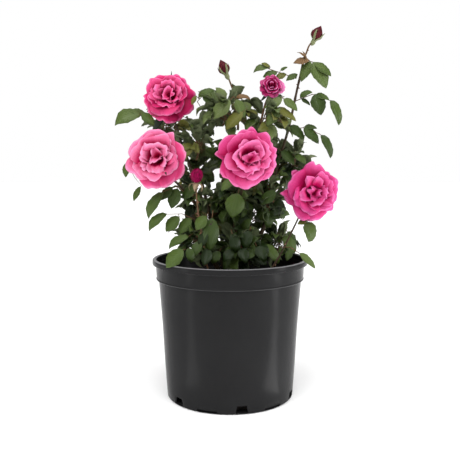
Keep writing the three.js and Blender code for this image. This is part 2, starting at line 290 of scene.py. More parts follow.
for k in range(NOTCHES):
    bearing = NOTCH_FIRST + 360 / NOTCHES * k
    cutting_block(bearing, FOOT_R - 3, 26, 22, 16, NOTCH_LOW, NOTCH_TOP)
    cutting_block(bearing + 180 / NOTCHES, FOOT_R, 14, 36, 36, SLOT_LOW, SLOT_TOP)
cutter = new_piece("notch_cutter", notch_mesh, [])
cut = pot.modifiers.new("notches", "BOOLEAN")
cut.operation = "DIFFERENCE"
cut.solver = "EXACT"
cut.object = cutter
bpy.context.view_layer.update()
cut_mesh = bpy.data.meshes.new_from_object(pot.evaluated_get(bpy.context.evaluated_depsgraph_get()))
pot.modifiers.clear()
pot.data = cut_mesh
bpy.data.objects.remove(cutter)
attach(pot, "root")
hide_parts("pot")

# ---- Potting mix: composted bark and peat, filled to a few centimetres under the rim. A lumpy
# disc with loose flakes of bark and a few white grains of perlite lying on it.
MIX_R = 125.9
MIX_TOP = 203
MIX_FOOT = 2.2
MIX_SIDE = [(99, 19), (114, 30), (120.3, 125.5), (MIX_R, 197)]
SURFACE_RINGS = 18
FLAKES = 420
dice = random.Random(11)


def next_ring(mesh, edges):
    """Extrude an open ring of edges; gives the new ring's edges and corners."""
    made = bmesh.ops.extrude_edge_only(mesh, edges=edges)["geom"]
    return ([part for part in made if isinstance(part, bmesh.types.BMEdge)],
            [part for part in made if isinstance(part, bmesh.types.BMVert)])


def put_on_ring(v, radius, level):
    angle = math.atan2(v.co.y, v.co.x)
    v.co = Vector((radius * math.cos(angle), radius * math.sin(angle), level)) * MM


def mix_level(radius):
    """Height of the mix, which sinks a little towards the wall."""
    return MIX_TOP - 4 * (radius / MIX_R) ** 4


mix_mesh = bmesh.new()
bmesh.ops.create_circle(mix_mesh, cap_ends=True, segments=72, radius=98 * MM)
bmesh.ops.translate(mix_mesh, verts=mix_mesh.verts, vec=(0, 0, MIX_FOOT * MM))
for face in list(mix_mesh.faces):
    face.normal_flip()
ring_edges = list(mix_mesh.edges)
for radius, level in MIX_SIDE:
    ring_edges, ring = next_ring(mix_mesh, ring_edges)
    for v in ring:
        put_on_ring(v, radius, level)
for step in range(1, SURFACE_RINGS):
    ring_edges, ring = next_ring(mix_mesh, ring_edges)
    radius = MIX_R * (1 - step / SURFACE_RINGS)
    for v in ring:
        put_on_ring(v, radius, mix_level(radius) + dice.uniform(-1.6, 0.4) * min(1, radius / 20))
bmesh.ops.contextual_create(mix_mesh, geom=ring_edges)
bmesh.ops.recalc_face_normals(mix_mesh, faces=mix_mesh.faces)
mix_bark, nodes, links, shader = new_material("bark_mix", (0.02, 0.013, 0.008), 0.85)
crumb = nodes.new("ShaderNodeTexVoronoi")
crumb.inputs["Scale"].default_value = 260
links.new(nodes.new("ShaderNodeTexCoord").outputs["Object"], crumb.inputs["Vector"])
crumb_tone = ramp(nodes, links, crumb.outputs["Distance"],
                  [(0.1, (0.034, 0.021, 0.013)), (0.7, (0.006, 0.004, 0.003))])
links.new(crumb_tone, shader.inputs["Base Color"])
relief(nodes, links, shader, crumb.outputs["Distance"], 0.9, 0.002)
mix = new_piece("potting_mix_surface", mix_mesh, [mix_bark], 60)
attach(mix, "root")
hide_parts("potting_mix")

flake_mesh = bmesh.new()
for k in range(FLAKES):
    made = bmesh.ops.create_icosphere(flake_mesh, subdivisions=1, radius=1)["verts"]
    size = Vector((dice.uniform(2.5, 8), dice.uniform(1.5, 4), dice.uniform(0.6, 1.6)))
    radius, angle = 120 * math.sqrt(dice.random()), dice.uniform(0, math.tau)
    grain_of_perlite = k % 14 == 0
    if grain_of_perlite:
        size = Vector((1.6, 1.4, 1.2)) * dice.uniform(0.6, 1.1)
    for v in made:
        v.co = Vector(v.co[i] * size[i] * dice.uniform(0.75, 1.25) for i in range(3)) * MM
    at = Vector((radius * math.cos(angle), radius * math.sin(angle), mix_level(radius) + 0.4)) * MM
    spin = Matrix.Rotation(dice.uniform(0, math.tau), 4, "Z")
    tilt = Matrix.Rotation(dice.uniform(-0.35, 0.35), 4, "X")
    bmesh.ops.transform(flake_mesh, matrix=Matrix.Translation(at) @ spin @ tilt, verts=made)
    for face in {f for v in made for f in v.link_faces}:
        face.material_index = 1 if grain_of_perlite else 0
flake_bark, nodes, links, shader = new_material("bark_flake", (0.05, 0.028, 0.015), 0.8)
streak = noise(nodes, links, nodes.new("ShaderNodeTexCoord").outputs["Object"], 120)
links.new(ramp(nodes, links, streak, [(0.3, (0.016, 0.009, 0.006)), (0.7, (0.085, 0.047, 0.026))]),
          shader.inputs["Base Color"])
perlite, nodes, links, shader = new_material("perlite", (0.55, 0.54, 0.5), 0.9)
pits = noise(nodes, links, nodes.new("ShaderNodeTexCoord").outputs["Object"], 900)
relief(nodes, links, shader, pits, 1.0, 0.0004)
flakes = new_piece("bark_flakes", flake_mesh, [flake_bark, perlite], 20)
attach(flakes, "root")

# ---- Bud union and canes: woody limbs from the graft, smooth and green when older, red-brown
# when young, swollen a little at each leaf joint and set with hooked prickles.
UNION_RINGS = [(19, 202.5), (16.5, 207), (15.2, 210), (16.6, 215), (15.4, 220), (12, 225), (6, 228.5)]
JOINT_GAP = 30
PRICKLE_GAP = 16
CANES = [
    # name, node, start, end, radius at start and end, sideways bow, bark
    ("left_cane", "cane_left", (-8, -2, 210), (-66, -10, 330), 4.6, 3.2, (-4, 0, -4), "green"),
    ("centre_cane", "cane_centre", (3, -8, 210), (12, -8, 380), 4.2, 3.0, (0, -2, 0), "green"),
    ("right_cane", "cane_right", (9, 0, 210), (80, 16, 410), 4.8, 2.9, (14, 0, -14), "green"),
    ("back_left_cane", "cane_back_left", (-5, 8, 210), (-62, 72, 420), 4.4, 2.8, (0, 8, -6), "green"),
    ("back_right_cane", "cane_back_right", (5, 9, 210), (54, 78, 430), 4.4, 2.8, (0, 8, -6), "green"),
    ("right_flower_stem", "stem_right_bloom", (44, -62, 202), (131, -44, 358), 1.8, 1.3, (6, 8, -6), "green"),
    ("low_bud_stem", "stem_low_bud", (-28, -64, 202), (-57, -75, 381), 1.5, 1.2, (-6, 17, 0), "young"),
    ("upper_left_flower_stem", "stem_upper_left_bloom", (-66, 8, 400), (-107, 8, 520), 2.6, 1.8, (-1, 2, 0),
     "green"),
    ("left_flower_stem", "stem_left_bloom", (-56, 4, 340), (-118, -62, 416), 2.6, 1.8, (0, 4, 2), "green"),
    ("centre_flower_stem", "stem_centre_bloom", (14, -10, 330), (26, -106, 414), 2.6, 1.8, (0, 12, 6),
     "green"),
    ("tall_cane", "cane_tall", (76, 14, 380), (130, 10, 600), 2.6, 1.9, (3, 0, 0), "russet"),
    ("top_bud_stem", "stem_top_bud", (129, 10, 596), (146, 10, 636), 1.7, 1.4, (-2, 0, 2), "young"),
    ("half_open_flower_stem", "stem_half_open_bloom", (50, 8, 470), (71, -2, 546), 2.2, 1.6, (-3, 0, 0),
     "young"),
    ("centre_bud_stem", "stem_centre_bud", (14, 2, 480), (-4, -10, 573), 2.0, 1.4, (6, 0, 0), "young"),
    ("back_left_flower_stem", "stem_back_left_bloom", (-66, 72, 380), (-130, 116, 424), 2.6, 1.9, (0, 4, -5),
     "green"),
    ("back_centre_flower_stem", "stem_back_centre_bloom", (40, 80, 350), (22, 128, 420), 2.6, 1.9, (0, 5, -5),
     "green"),
]


def bowed(start, end, bow, t):
    """The point at share t of a line from start to end that bows sideways."""
    a, b = Vector(start), Vector(end)
    middle = (a + b) / 2 + Vector(bow) * 2
    return a * (1 - t) ** 2 + middle * 2 * t * (1 - t) + b * t ** 2


def tube_mesh(name, lines, sides=3):
    """One mesh of round tapering tubes; each line is a list of (point in mm, radius in mm)."""
    curve = bpy.data.curves.new(name, "CURVE")
    curve.dimensions = "3D"
    curve.bevel_depth = 1
    curve.bevel_resolution = sides
    curve.use_fill_caps = True
    for line in lines:
        spline = curve.splines.new("POLY")
        spline.points.add(len(line) - 1)
        for point, (at, radius) in zip(spline.points, line):
            point.co = (*(Vector(at) * MM), 1)
            point.radius = radius * MM
    holder = bpy.data.objects.new(name, curve)
    scene.collection.objects.link(holder)
    bpy.context.view_layer.update()
    data = bpy.data.meshes.new_from_object(holder.evaluated_get(bpy.context.evaluated_depsgraph_get()))
    bpy.data.objects.remove(holder)
    bpy.data.curves.remove(curve)
    mesh = bmesh.new()
    mesh.from_mesh(data)
    bpy.data.meshes.remove(data)
    bmesh.ops.remove_doubles(mesh, verts=mesh.verts, dist=2e-6)
    bmesh.ops.recalc_face_normals(mesh, faces=mesh.faces)
    return mesh


def bark(name, light, dark, blushed):
    """Fine streaks of light and dark up the limb, with blushed patches over them."""
    material, nodes, links, shader = new_material(name, light, 0.6)
    shader.inputs["Specular IOR Level"].default_value = 0.2
    place = nodes.new("ShaderNodeTexCoord").outputs["Object"]
    streak = noise(nodes, links, place, 420, 5, (1, 1, 0.18))
    tone = ramp(nodes, links, streak, [(0.35, dark), (0.65, light)])
    links.new(blend(nodes, links, noise(nodes, links, place, 26), tone, blushed), shader.inputs["Base Color"])
    relief(nodes, links, shader, streak, 0.6, 0.0005)
    return material


barks = {
    "green": bark("green_bark", (0.036, 0.038, 0.014), (0.011, 0.013, 0.006), (0.050, 0.024, 0.013)),
    "russet": bark("russet_bark", (0.070, 0.034, 0.018), (0.030, 0.016, 0.010), (0.050, 0.040, 0.018)),
    "young": bark("young_bark", (0.15, 0.055, 0.032), (0.07, 0.028, 0.018), (0.11, 0.075, 0.03))}
prickle_skin = bark("prickle_skin", (0.20, 0.075, 0.05), (0.09, 0.03, 0.02), (0.16, 0.09, 0.05))

union_mesh = bmesh.new()
bmesh.ops.create_circle(union_mesh, cap_ends=True, segments=40, radius=1)
ring_edges, ring = list(union_mesh.edges), list(union_mesh.verts)
for index, (radius, level) in enumerate(UNION_RINGS):
    if index:
        ring_edges, ring = next_ring(union_mesh, ring_edges)
    for v in ring:
        angle = math.atan2(v.co.y, v.co.x)
        swell = 1 + 0.12 * math.sin(3 * angle + 0.8) + 0.04 * math.sin(7 * angle + index)
        put_on_ring(v, radius * (swell + dice.uniform(-0.02, 0.02)), level)
bmesh.ops.contextual_create(union_mesh, geom=ring_edges)
bmesh.ops.recalc_face_normals(union_mesh, faces=union_mesh.faces)
union = new_piece("graft_union", union_mesh, [barks["green"]], 60)
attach(union, "root")
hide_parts("bud_union")

dice = random.Random(23)
prickle_mesh = bmesh.new()


def add_prickle(at, along, radius):
    """A flat hooked prickle standing on the limb's bark, its point bent down the limb."""
    out = Quaternion(along, dice.uniform(0, math.tau)) @ along.orthogonal().normalized()
    high = dice.uniform(2.6, 4.6)
    made = bmesh.ops.create_cone(prickle_mesh, cap_ends=True, segments=6, radius1=0.5 * high * MM,
                                 radius2=0.06 * MM, depth=high * MM)["verts"]
    for v in made:
        v.co.x *= 0.5
        rise = v.co.z / (high * MM) + 0.5
        v.co.y -= 0.35 * high * MM * rise ** 2
    basis = Matrix((out.cross(along), along, out)).transposed().to_4x4()
    pose = Matrix.Translation((at + out * (radius * 0.85 + high * 0.45)) * MM) @ basis
    bmesh.ops.transform(prickle_mesh, matrix=pose, verts=made)


for name, node, start, end, thick, thin, bow, skin in CANES:
    length = (Vector(end) - Vector(start)).length
    steps = max(12, int(length / 5))
    line = []
    wobble = [dice.uniform(0, math.tau) for _ in range(3)]
    for k in range(steps + 1):
        t = k / steps
        sway = 0.8 * math.sin(math.pi * t)
        kink = Vector((math.sin(9 * t + wobble[0]), math.sin(7 * t + wobble[1]), 0)) * sway
        joint = max(0, math.cos(t * length / JOINT_GAP * math.tau + wobble[2])) ** 24
        line.append((bowed(start, end, bow, t) + kink, (thick + (thin - thick) * t) * (1 + 0.16 * joint)))
    limb = new_piece(name, tube_mesh(name, [line], 4), [barks[skin]], 60)
    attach(limb, "root")
    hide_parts(node)
    for k in range(int(length / PRICKLE_GAP)):
        index = dice.randrange(1, steps - 1)
        at, radius = line[index]
        add_prickle(at, (line[index + 1][0] - at).normalized(), radius)
bmesh.ops.recalc_face_normals(prickle_mesh, faces=prickle_mesh.faces)
prickles = new_piece("prickles", prickle_mesh, [prickle_skin], 40)
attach(prickles, "root")

# ---- Foliage: compound leaves of five or seven toothed leaflets on thin red-brown stalks, with
# single leaflets set one by one in front. Leaflets are two-skinned, dark and slightly glossy above
# and paler beneath. Their greens are plain colours dealt out spray by spray.
LEAF_TINTS = [
    ("leaf_deep", (0.011, 0.023, 0.004)), ("leaf_dark", (0.033, 0.058, 0.010)),
    ("leaf_mid", (0.057, 0.092, 0.017)), ("leaf_grey", (0.080, 0.117, 0.029)),
    ("leaf_light", (0.120, 0.158, 0.050)), ("leaf_olive", (0.120, 0.124, 0.024)),
    ("leaf_bronze", (0.165, 0.090, 0.036))]
UNDER_TINTS = [("leaf_under", (0.120, 0.148, 0.070)), ("leaf_under_olive", (0.16, 0.15, 0.055))]
DEEP, DARK, MIDDLE, GREY, LIGHT, OLIVE, BRONZE = range(7)
RIBS = 28.0
LEAF_GLOSS = 0.24


def leaf_material(name, color, roughness, depth):
    """Plain green with a sunk midrib and slanting side ribs, drawn in the leaflet's own UVs."""
    material, nodes, links, shader = new_material(name, color, roughness)
    uv = nodes.new("ShaderNodeUVMap")
    uv.uv_map = "leaf"
    split = nodes.new("ShaderNodeSeparateXYZ")
    links.new(uv.outputs["UV"], split.inputs["Vector"])

    def calc(kind, first, second=0.0):
        node = nodes.new("ShaderNodeMath")
        node.operation = kind
        links.new(first, node.inputs[0])
        if isinstance(second, float):
            node.inputs[1].default_value = second
        else:
            links.new(second, node.inputs[1])
        return node.outputs["Value"]

    side = calc("ABSOLUTE", calc("SUBTRACT", split.outputs["X"], 0.5))
    sweep = calc("SUBTRACT", split.outputs["Y"], calc("MULTIPLY", side, 0.75))
    ribs = calc("POWER", calc("ABSOLUTE", calc("SINE", calc("MULTIPLY", sweep, RIBS))), 0.5)
    midrib = calc("MINIMUM", calc("MULTIPLY", side, 14.0), 1.0)
    relief(nodes, links, shader, calc("MULTIPLY", ribs, midrib), depth, 0.0012)
    shader.inputs["Specular IOR Level"].default_value = LEAF_GLOSS
    return material


leaf_materials = [leaf_material(name, color, 0.36, 0.5) for name, color in LEAF_TINTS]
leaf_materials += [leaf_material(name, color, 0.7, 0.8) for name, color in UNDER_TINTS]

ACROSS, ALONG = 2, 10  # faces across and along a leaflet
LEAF_THICK = 0.008
TOOTH_OUT, TOOTH_IN = 1.035, 0.955


def half_width(t):
    """Half the width of a leaflet of unit length at share t of it: oval, with a pointed tip."""
    if not 0 < t < 0.999:
        return 0
    return 0.34 * math.sin(math.pi * min(1, t) ** 0.86) ** 0.75 * (1 - 0.18 * t ** 5)


def leaflet_template(fold, droop, twist, wave, curl):
    """Corners, faces, skins and leaf UVs of one leaflet of unit length along +Y, upper face to +Z."""
    mesh = bmesh.new()
    bmesh.ops.create_grid(mesh, x_segments=ACROSS, y_segments=ALONG, size=0.5)
    uv_layer = mesh.loops.layers.uv.new("leaf")
    for face in mesh.faces:
        for loop in face.loops:
            loop[uv_layer].uv = (loop.vert.co.x + 0.5, loop.vert.co.y + 0.5)
    for v in mesh.verts:
        side, t = v.co.x * 2, v.co.y + 0.5
        tooth = 1
        if abs(side) > 0.9:
            tooth = TOOTH_OUT if round(t * ALONG) % 2 else TOOTH_IN
        v.co.x, v.co.y = side * half_width(t) * tooth, t
    bmesh.ops.remove_doubles(mesh, verts=mesh.verts, dist=1e-5)
    bmesh.ops.solidify(mesh, geom=mesh.faces, thickness=LEAF_THICK)
    mesh.normal_update()
    for face in mesh.faces:
        face.material_index = 0 if face.normal.z > 0.2 else 1
    for v in mesh.verts:
        x, t = v.co.x, v.co.y
        lift = fold * abs(x) + wave * math.sin(t * 9 + (2 if x > 0 else 0)) * abs(x)
        angle = droop * t + curl * max(0, t - 0.55) ** 2
        turn = twist * t
        x, lift = x * math.cos(turn) - lift * math.sin(turn), x * math.sin(turn) + lift * math.cos(turn)
        along, down = t, 0
        if abs(angle) > 1e-4:
            along, down = math.sin(angle) / angle * t, (1 - math.cos(angle)) / angle * t
        lift += v.co.z
        v.co = Vector((x, along + lift * math.sin(angle), -down + lift * math.cos(angle)))
    bmesh.ops.recalc_face_normals(mesh, faces=mesh.faces)
    mesh.verts.index_update()
    corners = np.array([v.co[:] for v in mesh.verts])
    faces = [[v.index for v in face.verts] for face in mesh.faces]
    skins = [face.material_index for face in mesh.faces]
    uvs = [loop[uv_layer].uv[:] for face in mesh.faces for loop in face.loops]
    mesh.free()
    return corners, faces, skins, uvs


dice = random.Random(5)
SHAPES = 10
leaflet_kinds = [leaflet_template(dice.uniform(0.1, 0.5), dice.uniform(0.1, 1.0), dice.uniform(-0.3, 0.3),
                                  dice.uniform(0.05, 0.22), dice.uniform(-0.5, 3.0)) for _ in range(SHAPES)]
FLAT, ARCHED, CURLED = range(SHAPES, SHAPES + 3)
leaflet_kinds += [leaflet_template(0.16, 0.15, 0.05, 0.08, 0.3), leaflet_template(0.28, 0.9, -0.1, 0.10, 0.8),
                  leaflet_template(0.45, 0.5, 0.25, 0.14, 4.0)]
TIP_RISE = {FLAT: 0.0, ARCHED: 0.42, CURLED: 0.5}


class Spray:
    """Leaflets and stalks gathered for one joined piece."""

    def __init__(self):
        self.leaflets, self.stalks = [], []

    def leaflet(self, base, along, face, length, tint, wide=1.0, kind=None):
        """One leaflet from its base, pointing along, its upper side turned to face."""
        along = along.normalized()
        face = (face - along * face.dot(along))
        face = face.normalized() if face.length > 1e-3 else along.orthogonal().normalized()
        across = along.cross(face)
        pose = np.array([across * length * wide, along * length, face * length]).T
        self.leaflets.append((pose, np.array(base), dice.randrange(SHAPES) if kind is None else kind, tint))

    def placed(self, rows, stalk=()):
        """Leaflets set one by one: base x, z, tip x, z, depth y, width, kind, tint. Each stands on a
        short stalk of its own, run to the nearest point of the leaf's stalk where there is one."""
        joints = [Vector(a).lerp(Vector(b), k / 8) for a, b in zip(stalk, stalk[1:]) for k in range(9)]
        for x0, z0, x1, z1, y, wide, kind, tint in rows:
            base, tip = Vector((x0, y, z0)), Vector((x1, y - 5, z1))
            along = tip - base
            rise = TIP_RISE.get(kind, 0.3)
            face = Vector((0.1 * along.x / along.length, -0.8, 0.6))
            up = (face - along.normalized() * face.dot(along.normalized())).normalized()
            length = along.length * (1 + 0.18 * rise)
            self.leaflet(base, along + up * along.length * rise, face, length, tint, wide, kind)
            back = base - along * 0.2 + Vector((0, 9, 0))
            if joints:
                back = min(joints, key=lambda joint: (joint - base).length)
            self.stalks.append([(back, 0.7), (base.lerp(back, 0.4), 0.6), (base, 0.5)])

    def compound(self, base, end, leaflets, length, face, tint, arch):
        """A compound leaf: stalk from base to end, side leaflets in pairs, one at the end."""
        base, end, face = Vector(base), Vector(end), Vector(face).normalized()
        reach = (end - base).length
        bow = (0, 0, arch / 2)
        line = [bowed(base, end, bow, t) for t in (0, 0.2, 0.4, 0.6, 0.8, 1)]
        self.stalks.append([(p, 0.75 - 0.07 * k) for k, p in enumerate(line)])
        along = (line[-1] - line[-3]).normalized()
        sag = Vector((0, 0, -1))
        self.leaflet(end, along + sag * dice.uniform(0, 0.35), face, length * dice.uniform(0.95, 1.12), tint)
        pairs = (leaflets - 1) // 2
        for k in range(pairs):
            t = 1 - (k + 0.8) * min(0.34, 0.62 * length / max(reach, 1))
            t = max(t, 0.12)
            at = bowed(base, end, bow, t)
            for side in (-1, 1):
                swing = Quaternion(face, side * math.radians(dice.uniform(52, 78)))
                out = swing @ along + sag * dice.uniform(-0.05, 0.4)
                tilt = face + out * dice.uniform(-0.25, 0.35)
                shade = tint if dice.random() < 0.7 else min(BRONZE, max(DEEP, tint + dice.choice((-1, 1))))
                size = length * (0.92 - 0.1 * k) * dice.uniform(0.86, 1.08)
                self.leaflet(at + out.normalized() * 1.5, out, tilt, size, shade)

    def build(self, name, node):
        """All leaflets gathered so far as one piece that stands for the node."""
        corners, faces, sizes, skins, uvs, start = [], [], [], [], [], 0
        for pose, at, kind, tint in self.leaflets:
            points, shape, skin, uv = leaflet_kinds[kind]
            corners.append((points @ pose.T + at) * MM)
            faces += [i + start for face in shape for i in face]
            sizes += [len(face) for face in shape]
            under = len(LEAF_TINTS) + (1 if tint >= OLIVE else 0)
            skins += [under if side else tint for side in skin]
            uvs += uv
            start += len(points)
        data = bpy.data.meshes.new(name)
        corners = np.concatenate(corners)
        data.vertices.add(len(corners))
        data.vertices.foreach_set("co", corners.astype(np.float32).ravel())
        data.loops.add(len(faces))
        data.loops.foreach_set("vertex_index", faces)
        data.polygons.add(len(sizes))
        data.polygons.foreach_set("loop_start", np.cumsum([0] + sizes[:-1]))
        data.polygons.foreach_set("material_index", skins)
        data.polygons.foreach_set("use_smooth", [True] * len(sizes))
        data.update(calc_edges=True)
        data.uv_layers.new(name="leaf").data.foreach_set("uv", np.array(uvs, np.float32).ravel())
        for material in leaf_materials:
            data.materials.append(material)
        data.validate()
        piece = bpy.data.objects.new(name, data)
        scene.collection.objects.link(piece)
        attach(piece, "root")
        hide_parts(node)


# the tint of each leaflet set in front is picked darker where the foot of the bush lies in shade and lighter
# toward the sunlit top: painted shade and painted light
SHOWN = {
    # mass: leaflets in front of it, as placed() takes them
    "mid_centre_mass": [(14, 370, 2, 328, -50, 1.15, FLAT, MIDDLE), (7, 396, -16, 375, -42, 0.8, FLAT, GREY)],
    "foot_centre_mass": [
        (-30, 330, -34, 274, -80, 0.72, FLAT, DARK), (-40, 333, -58, 310, -80, 1.05, FLAT, MIDDLE),
        (-50, 290, -60, 264, -80, 0.85, 2, DARK), (-36, 278, -43, 249, -78, 0.9, 5, DEEP),
        (-40, 306, -50, 280, -78, 0.8, ARCHED, DEEP), (-18, 270, -31, 250, -60, 1.0, 7, DARK),
        (6, 272, -10, 252, -58, 0.95, 1, DEEP), (18, 276, 27, 250, -58, 1.0, 4, DEEP),
        (44, 268, 27, 256, -56, 0.95, 8, DARK), (46, 279, 60, 252, -56, 0.9, 3, DEEP),
        (4, 300, 12, 268, -60, 0.8, 6, DEEP), (34, 306, 24, 276, -58, 0.9, ARCHED, DEEP)],
    "foot_right_mass": [
        (58, 276, 88, 244, -14, 0.62, ARCHED, MIDDLE), (94, 290, 117, 262, -10, 0.8, ARCHED, MIDDLE),
        (104, 298, 120, 278, -6, 0.7, FLAT, DARK)],
    "mid_right_mass": [(80, 373, 54, 350, -28, 0.95, FLAT, DARK)],
    "mid_left_mass": [(-62, 381, -82, 359, -32, 0.95, FLAT, DARK)],
    "foot_left_mass": [(-71, 296, -106, 277, -56, 0.6, ARCHED, MIDDLE)],
    "top_centre_mass": [
        (0, 530, -30, 498, -32, 0.95, FLAT, LIGHT), (10, 531, 26, 500, -30, 0.8, FLAT, GREY),
        (22, 509, -9, 480, -36, 0.8, FLAT, OLIVE), (10, 535, 35, 534, -14, 0.55, ARCHED, BRONZE)],
    "top_right_mass": [
        (90, 534, 66, 516, -24, 0.9, FLAT, LIGHT), (93, 533, 118, 513, -22, 0.85, FLAT, GREY),
        (80, 517, 116, 496, -26, 0.62, FLAT, OLIVE), (86, 511, 62, 487, -27, 0.9, FLAT, GREY)],
    "upper_right_mass": [
        (91, 443, 116, 420, -4, 0.85, FLAT, DARK), (115, 435, 135, 421, -2, 0.8, ARCHED, MIDDLE)],
}
GOLDEN_ANGLE = 2.39996
all_stalks = []


def fill_mass(node, twigs, length, tints, gap):
    """Branching rule: a bough climbs from the mass's foot; twigs leave it by the golden angle, each
    ending in a compound leaf under the skin of the mass, its face turned outwards and up. A share
    of the twigs, the gap, is left out."""
    low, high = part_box(node)
    centre, half = (low + high) / 2 / MM, (high - low) / 2 / MM
    spray = Spray()
    top = centre + Vector((0, 0, half.z * 0.6))
    foot = centre - Vector((0, 0, half.z * 0.8))
    spray.stalks.append([(foot.lerp(top, k / 5) + Vector((dice.uniform(-3, 3), dice.uniform(-3, 3), 0)),
                          2.0 - 0.25 * k) for k in range(6)])
    for k in range(twigs):
        level = 1 - 2 * (k + 0.5) / twigs
        angle = k * GOLDEN_ANGLE + dice.uniform(-0.4, 0.4)
        ring = math.sqrt(1 - level * level)
        way = Vector((ring * math.cos(angle), ring * math.sin(angle), level))
        if dice.random() < gap:
            continue
        skin = Vector(way[i] * half[i] for i in range(3))
        base = centre + skin * 0.25 - Vector((0, 0, half.z * 0.25))
        end = centre + skin * dice.uniform(0.5, 0.72)
        from_bough = foot.lerp(top, min(1, max(0, 0.5 + 0.4 * level)))
        halfway = from_bough.lerp(base, 0.5) + Vector((0, 0, 2))
        spray.stalks.append([(from_bough, 1.3), (halfway, 1.1), (base, 0.85)])
        face = way * 0.9 + Vector((0, 0, 0.55)) + Vector(dice.uniform(-0.3, 0.3) for _ in range(3))
        spray.compound(base, end, dice.choice((5, 5, 7)), length * dice.uniform(0.85, 1.1), face,
                       dice.choice(tints), dice.uniform(2, 8))
    spray.placed(SHOWN.get(node, ()))
    spray.build(node + "_leaves", node)
    all_stalks.extend(spray.stalks)


# tints to deal from, darker for the shaded foot of the bush and lighter for its sunlit top: painted shade and
# painted light over the leaves' own spread of greens
SHADED = (DEEP, DEEP, DARK, DARK, MIDDLE)
HEART = (DEEP, DARK, DARK, MIDDLE, MIDDLE)
OUTER = (DARK, MIDDLE, GREY, GREY, OLIVE)
SUNLIT = (GREY, LIGHT, GREY, LIGHT, OLIVE, LIGHT)
MASSES = [
    # mass, twigs, leaflet length, tints, share of the twigs left out
    ("foot_centre_mass", 26, 31, SHADED, 0), ("foot_left_mass", 16, 30, HEART, 0.1),
    ("foot_right_mass", 13, 28, SHADED, 0.1), ("mid_centre_mass", 25, 31, SHADED, 0),
    ("mid_right_mass", 16, 30, SHADED, 0), ("mid_left_mass", 13, 27, HEART, 0.15),
    ("upper_centre_mass", 20, 31, OUTER, 0), ("upper_left_mass", 11, 30, OUTER, 0.1),
    ("upper_right_mass", 9, 32, HEART, 0), ("top_centre_mass", 11, 33, SUNLIT, 0),
    ("top_right_mass", 12, 33, SUNLIT, 0), ("back_left_low_mass", 16, 38, OUTER, 0),
    ("back_right_low_mass", 16, 38, OUTER, 0), ("back_left_mid_mass", 15, 36, OUTER, 0),
    ("back_right_mid_mass", 15, 36, OUTER, 0), ("back_left_spray", 9, 34, OUTER, 0),
    ("back_right_spray", 8, 34, OUTER, 0)]
for row in MASSES:
    fill_mass(*row)

